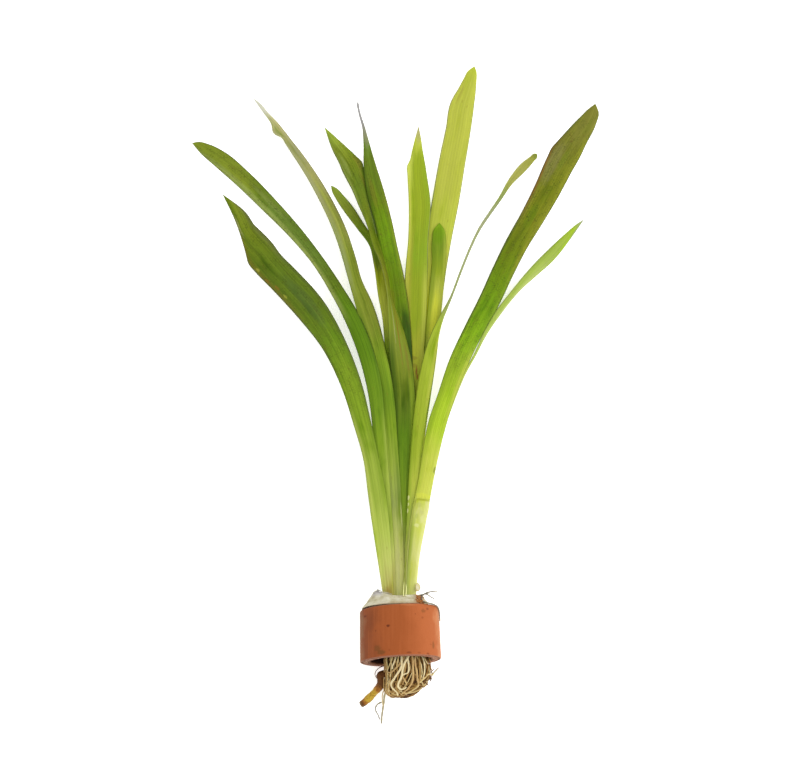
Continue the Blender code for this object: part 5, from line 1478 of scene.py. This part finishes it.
def slivers():
    skin = Skin("slivers")
    for rows in SLIVERS:
        sections = []
        for x, y, z, half in smooth_rows([(*top_at(x, y, 0.25), half) for x, y, half in rows], 0.3):
            thin = half * 0.35
            sections.append([(x - half, y, z), (x, y, z + thin), (x + half, y, z), (x, y, z - thin)])
        skin.add(sections)
    p = Paint("sliver")
    p.ramp(p.noise(p.place_mm(), 0.8), [(0.3, "cream"), (0.7, "milk")])
    dress(skin.make(), "leaf_pale", material=p.finish(0.5, 0.1))


def paper_paint():
    """Dry paper, browner towards its edge."""
    p = Paint("dry_scale")
    lines = p.noise(p.stretch(p.place_mm(), 2.0, 0.5, 2.0), 1.0, 3.0)
    p.ramp(lines, [(0.30, "scale brown"), (0.46, "scale tan"), (0.70, "wool white")])
    low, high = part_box("dry_scale")
    middle, half = (low + high) / 2, (high - low) / 2
    x, y = p.split(p.place())[:2]
    off = p.oval(x, y, middle.x, middle.y, half.x, half.y)
    p.lay(p.band(p.times(off, off), 0.45, 0.95), 0.5, "scale brown")
    p.bump(lines, 0.4, 0.0002)
    return p.finish(0.7, 0.1)


# Floor, light and camera


def floor():
    mesh = bpy.data.meshes.new("floor")
    corners = [(-1, -1), (1, -1), (1, 1), (-1, 1)]
    mesh.from_pydata([(x * FLOOR_HALF, y * FLOOR_HALF, FLOOR_Z) for x, y in corners], [], [(0, 1, 2, 3)])
    made = bpy.data.objects.new("floor", mesh)
    bpy.context.scene.collection.objects.link(made)
    p = Paint("floor")
    p.colour = (0.95, 0.95, 0.94, 1)
    p.shader.inputs["Emission Color"].default_value = (1.0, 1.0, 0.985, 1)
    p.shader.inputs["Emission Strength"].default_value = FLOOR_GLOW
    mesh.materials.append(p.finish(0.9, 0.1))


def light_and_camera():
    scene = bpy.context.scene
    scene.view_settings.view_transform = "Standard"
    world = bpy.data.worlds.new("studio")
    world.use_nodes = True
    background = world.node_tree.nodes["Background"]
    background.inputs["Color"].default_value = (1.0, 0.99, 0.97, 1)
    background.inputs["Strength"].default_value = SKY_STRENGTH
    scene.world = world

    lamp = bpy.data.lights.new("window", "AREA")
    lamp.shape = "RECTANGLE"
    lamp.size, lamp.size_y = WINDOW_SIZE
    lamp.energy = WINDOW_POWER
    window = bpy.data.objects.new("window", lamp)
    window.location = WINDOW_PLACE
    window.rotation_euler = (-window.location).to_track_quat("-Z", "Y").to_euler()
    scene.collection.objects.link(window)

    lens = bpy.data.cameras.new("photo_view")
    lens.sensor_width = SENSOR_MM
    lens.lens = VIEW_DISTANCE_MM / MM_PER_PIXEL * SENSOR_MM / IMAGE_WIDTH
    lens.clip_end = 50.0
    camera = bpy.data.objects.new("photo_view", lens)
    back = Vector((0.0, -math.sin(VIEW_TILT), math.cos(VIEW_TILT)))
    camera.location = HOME + (VIEW_TARGET_MM + back * VIEW_DISTANCE_MM) * MM
    camera.rotation_euler = (VIEW_TILT, 0.0, 0.0)
    scene.collection.objects.link(camera)
    scene.camera = camera


light_and_camera()
floor()
make_leaves()
clay_ring()
wool_plug()
wool_fibres()
tuft_core()
root_strands()
runner()
single_roots()
wool_roots()
slivers()
for name, material in (("crown", crown_paint()), ("dry_scale", paper_paint())):
    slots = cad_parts[name].data.materials
    slots.clear()
    slots.append(material)
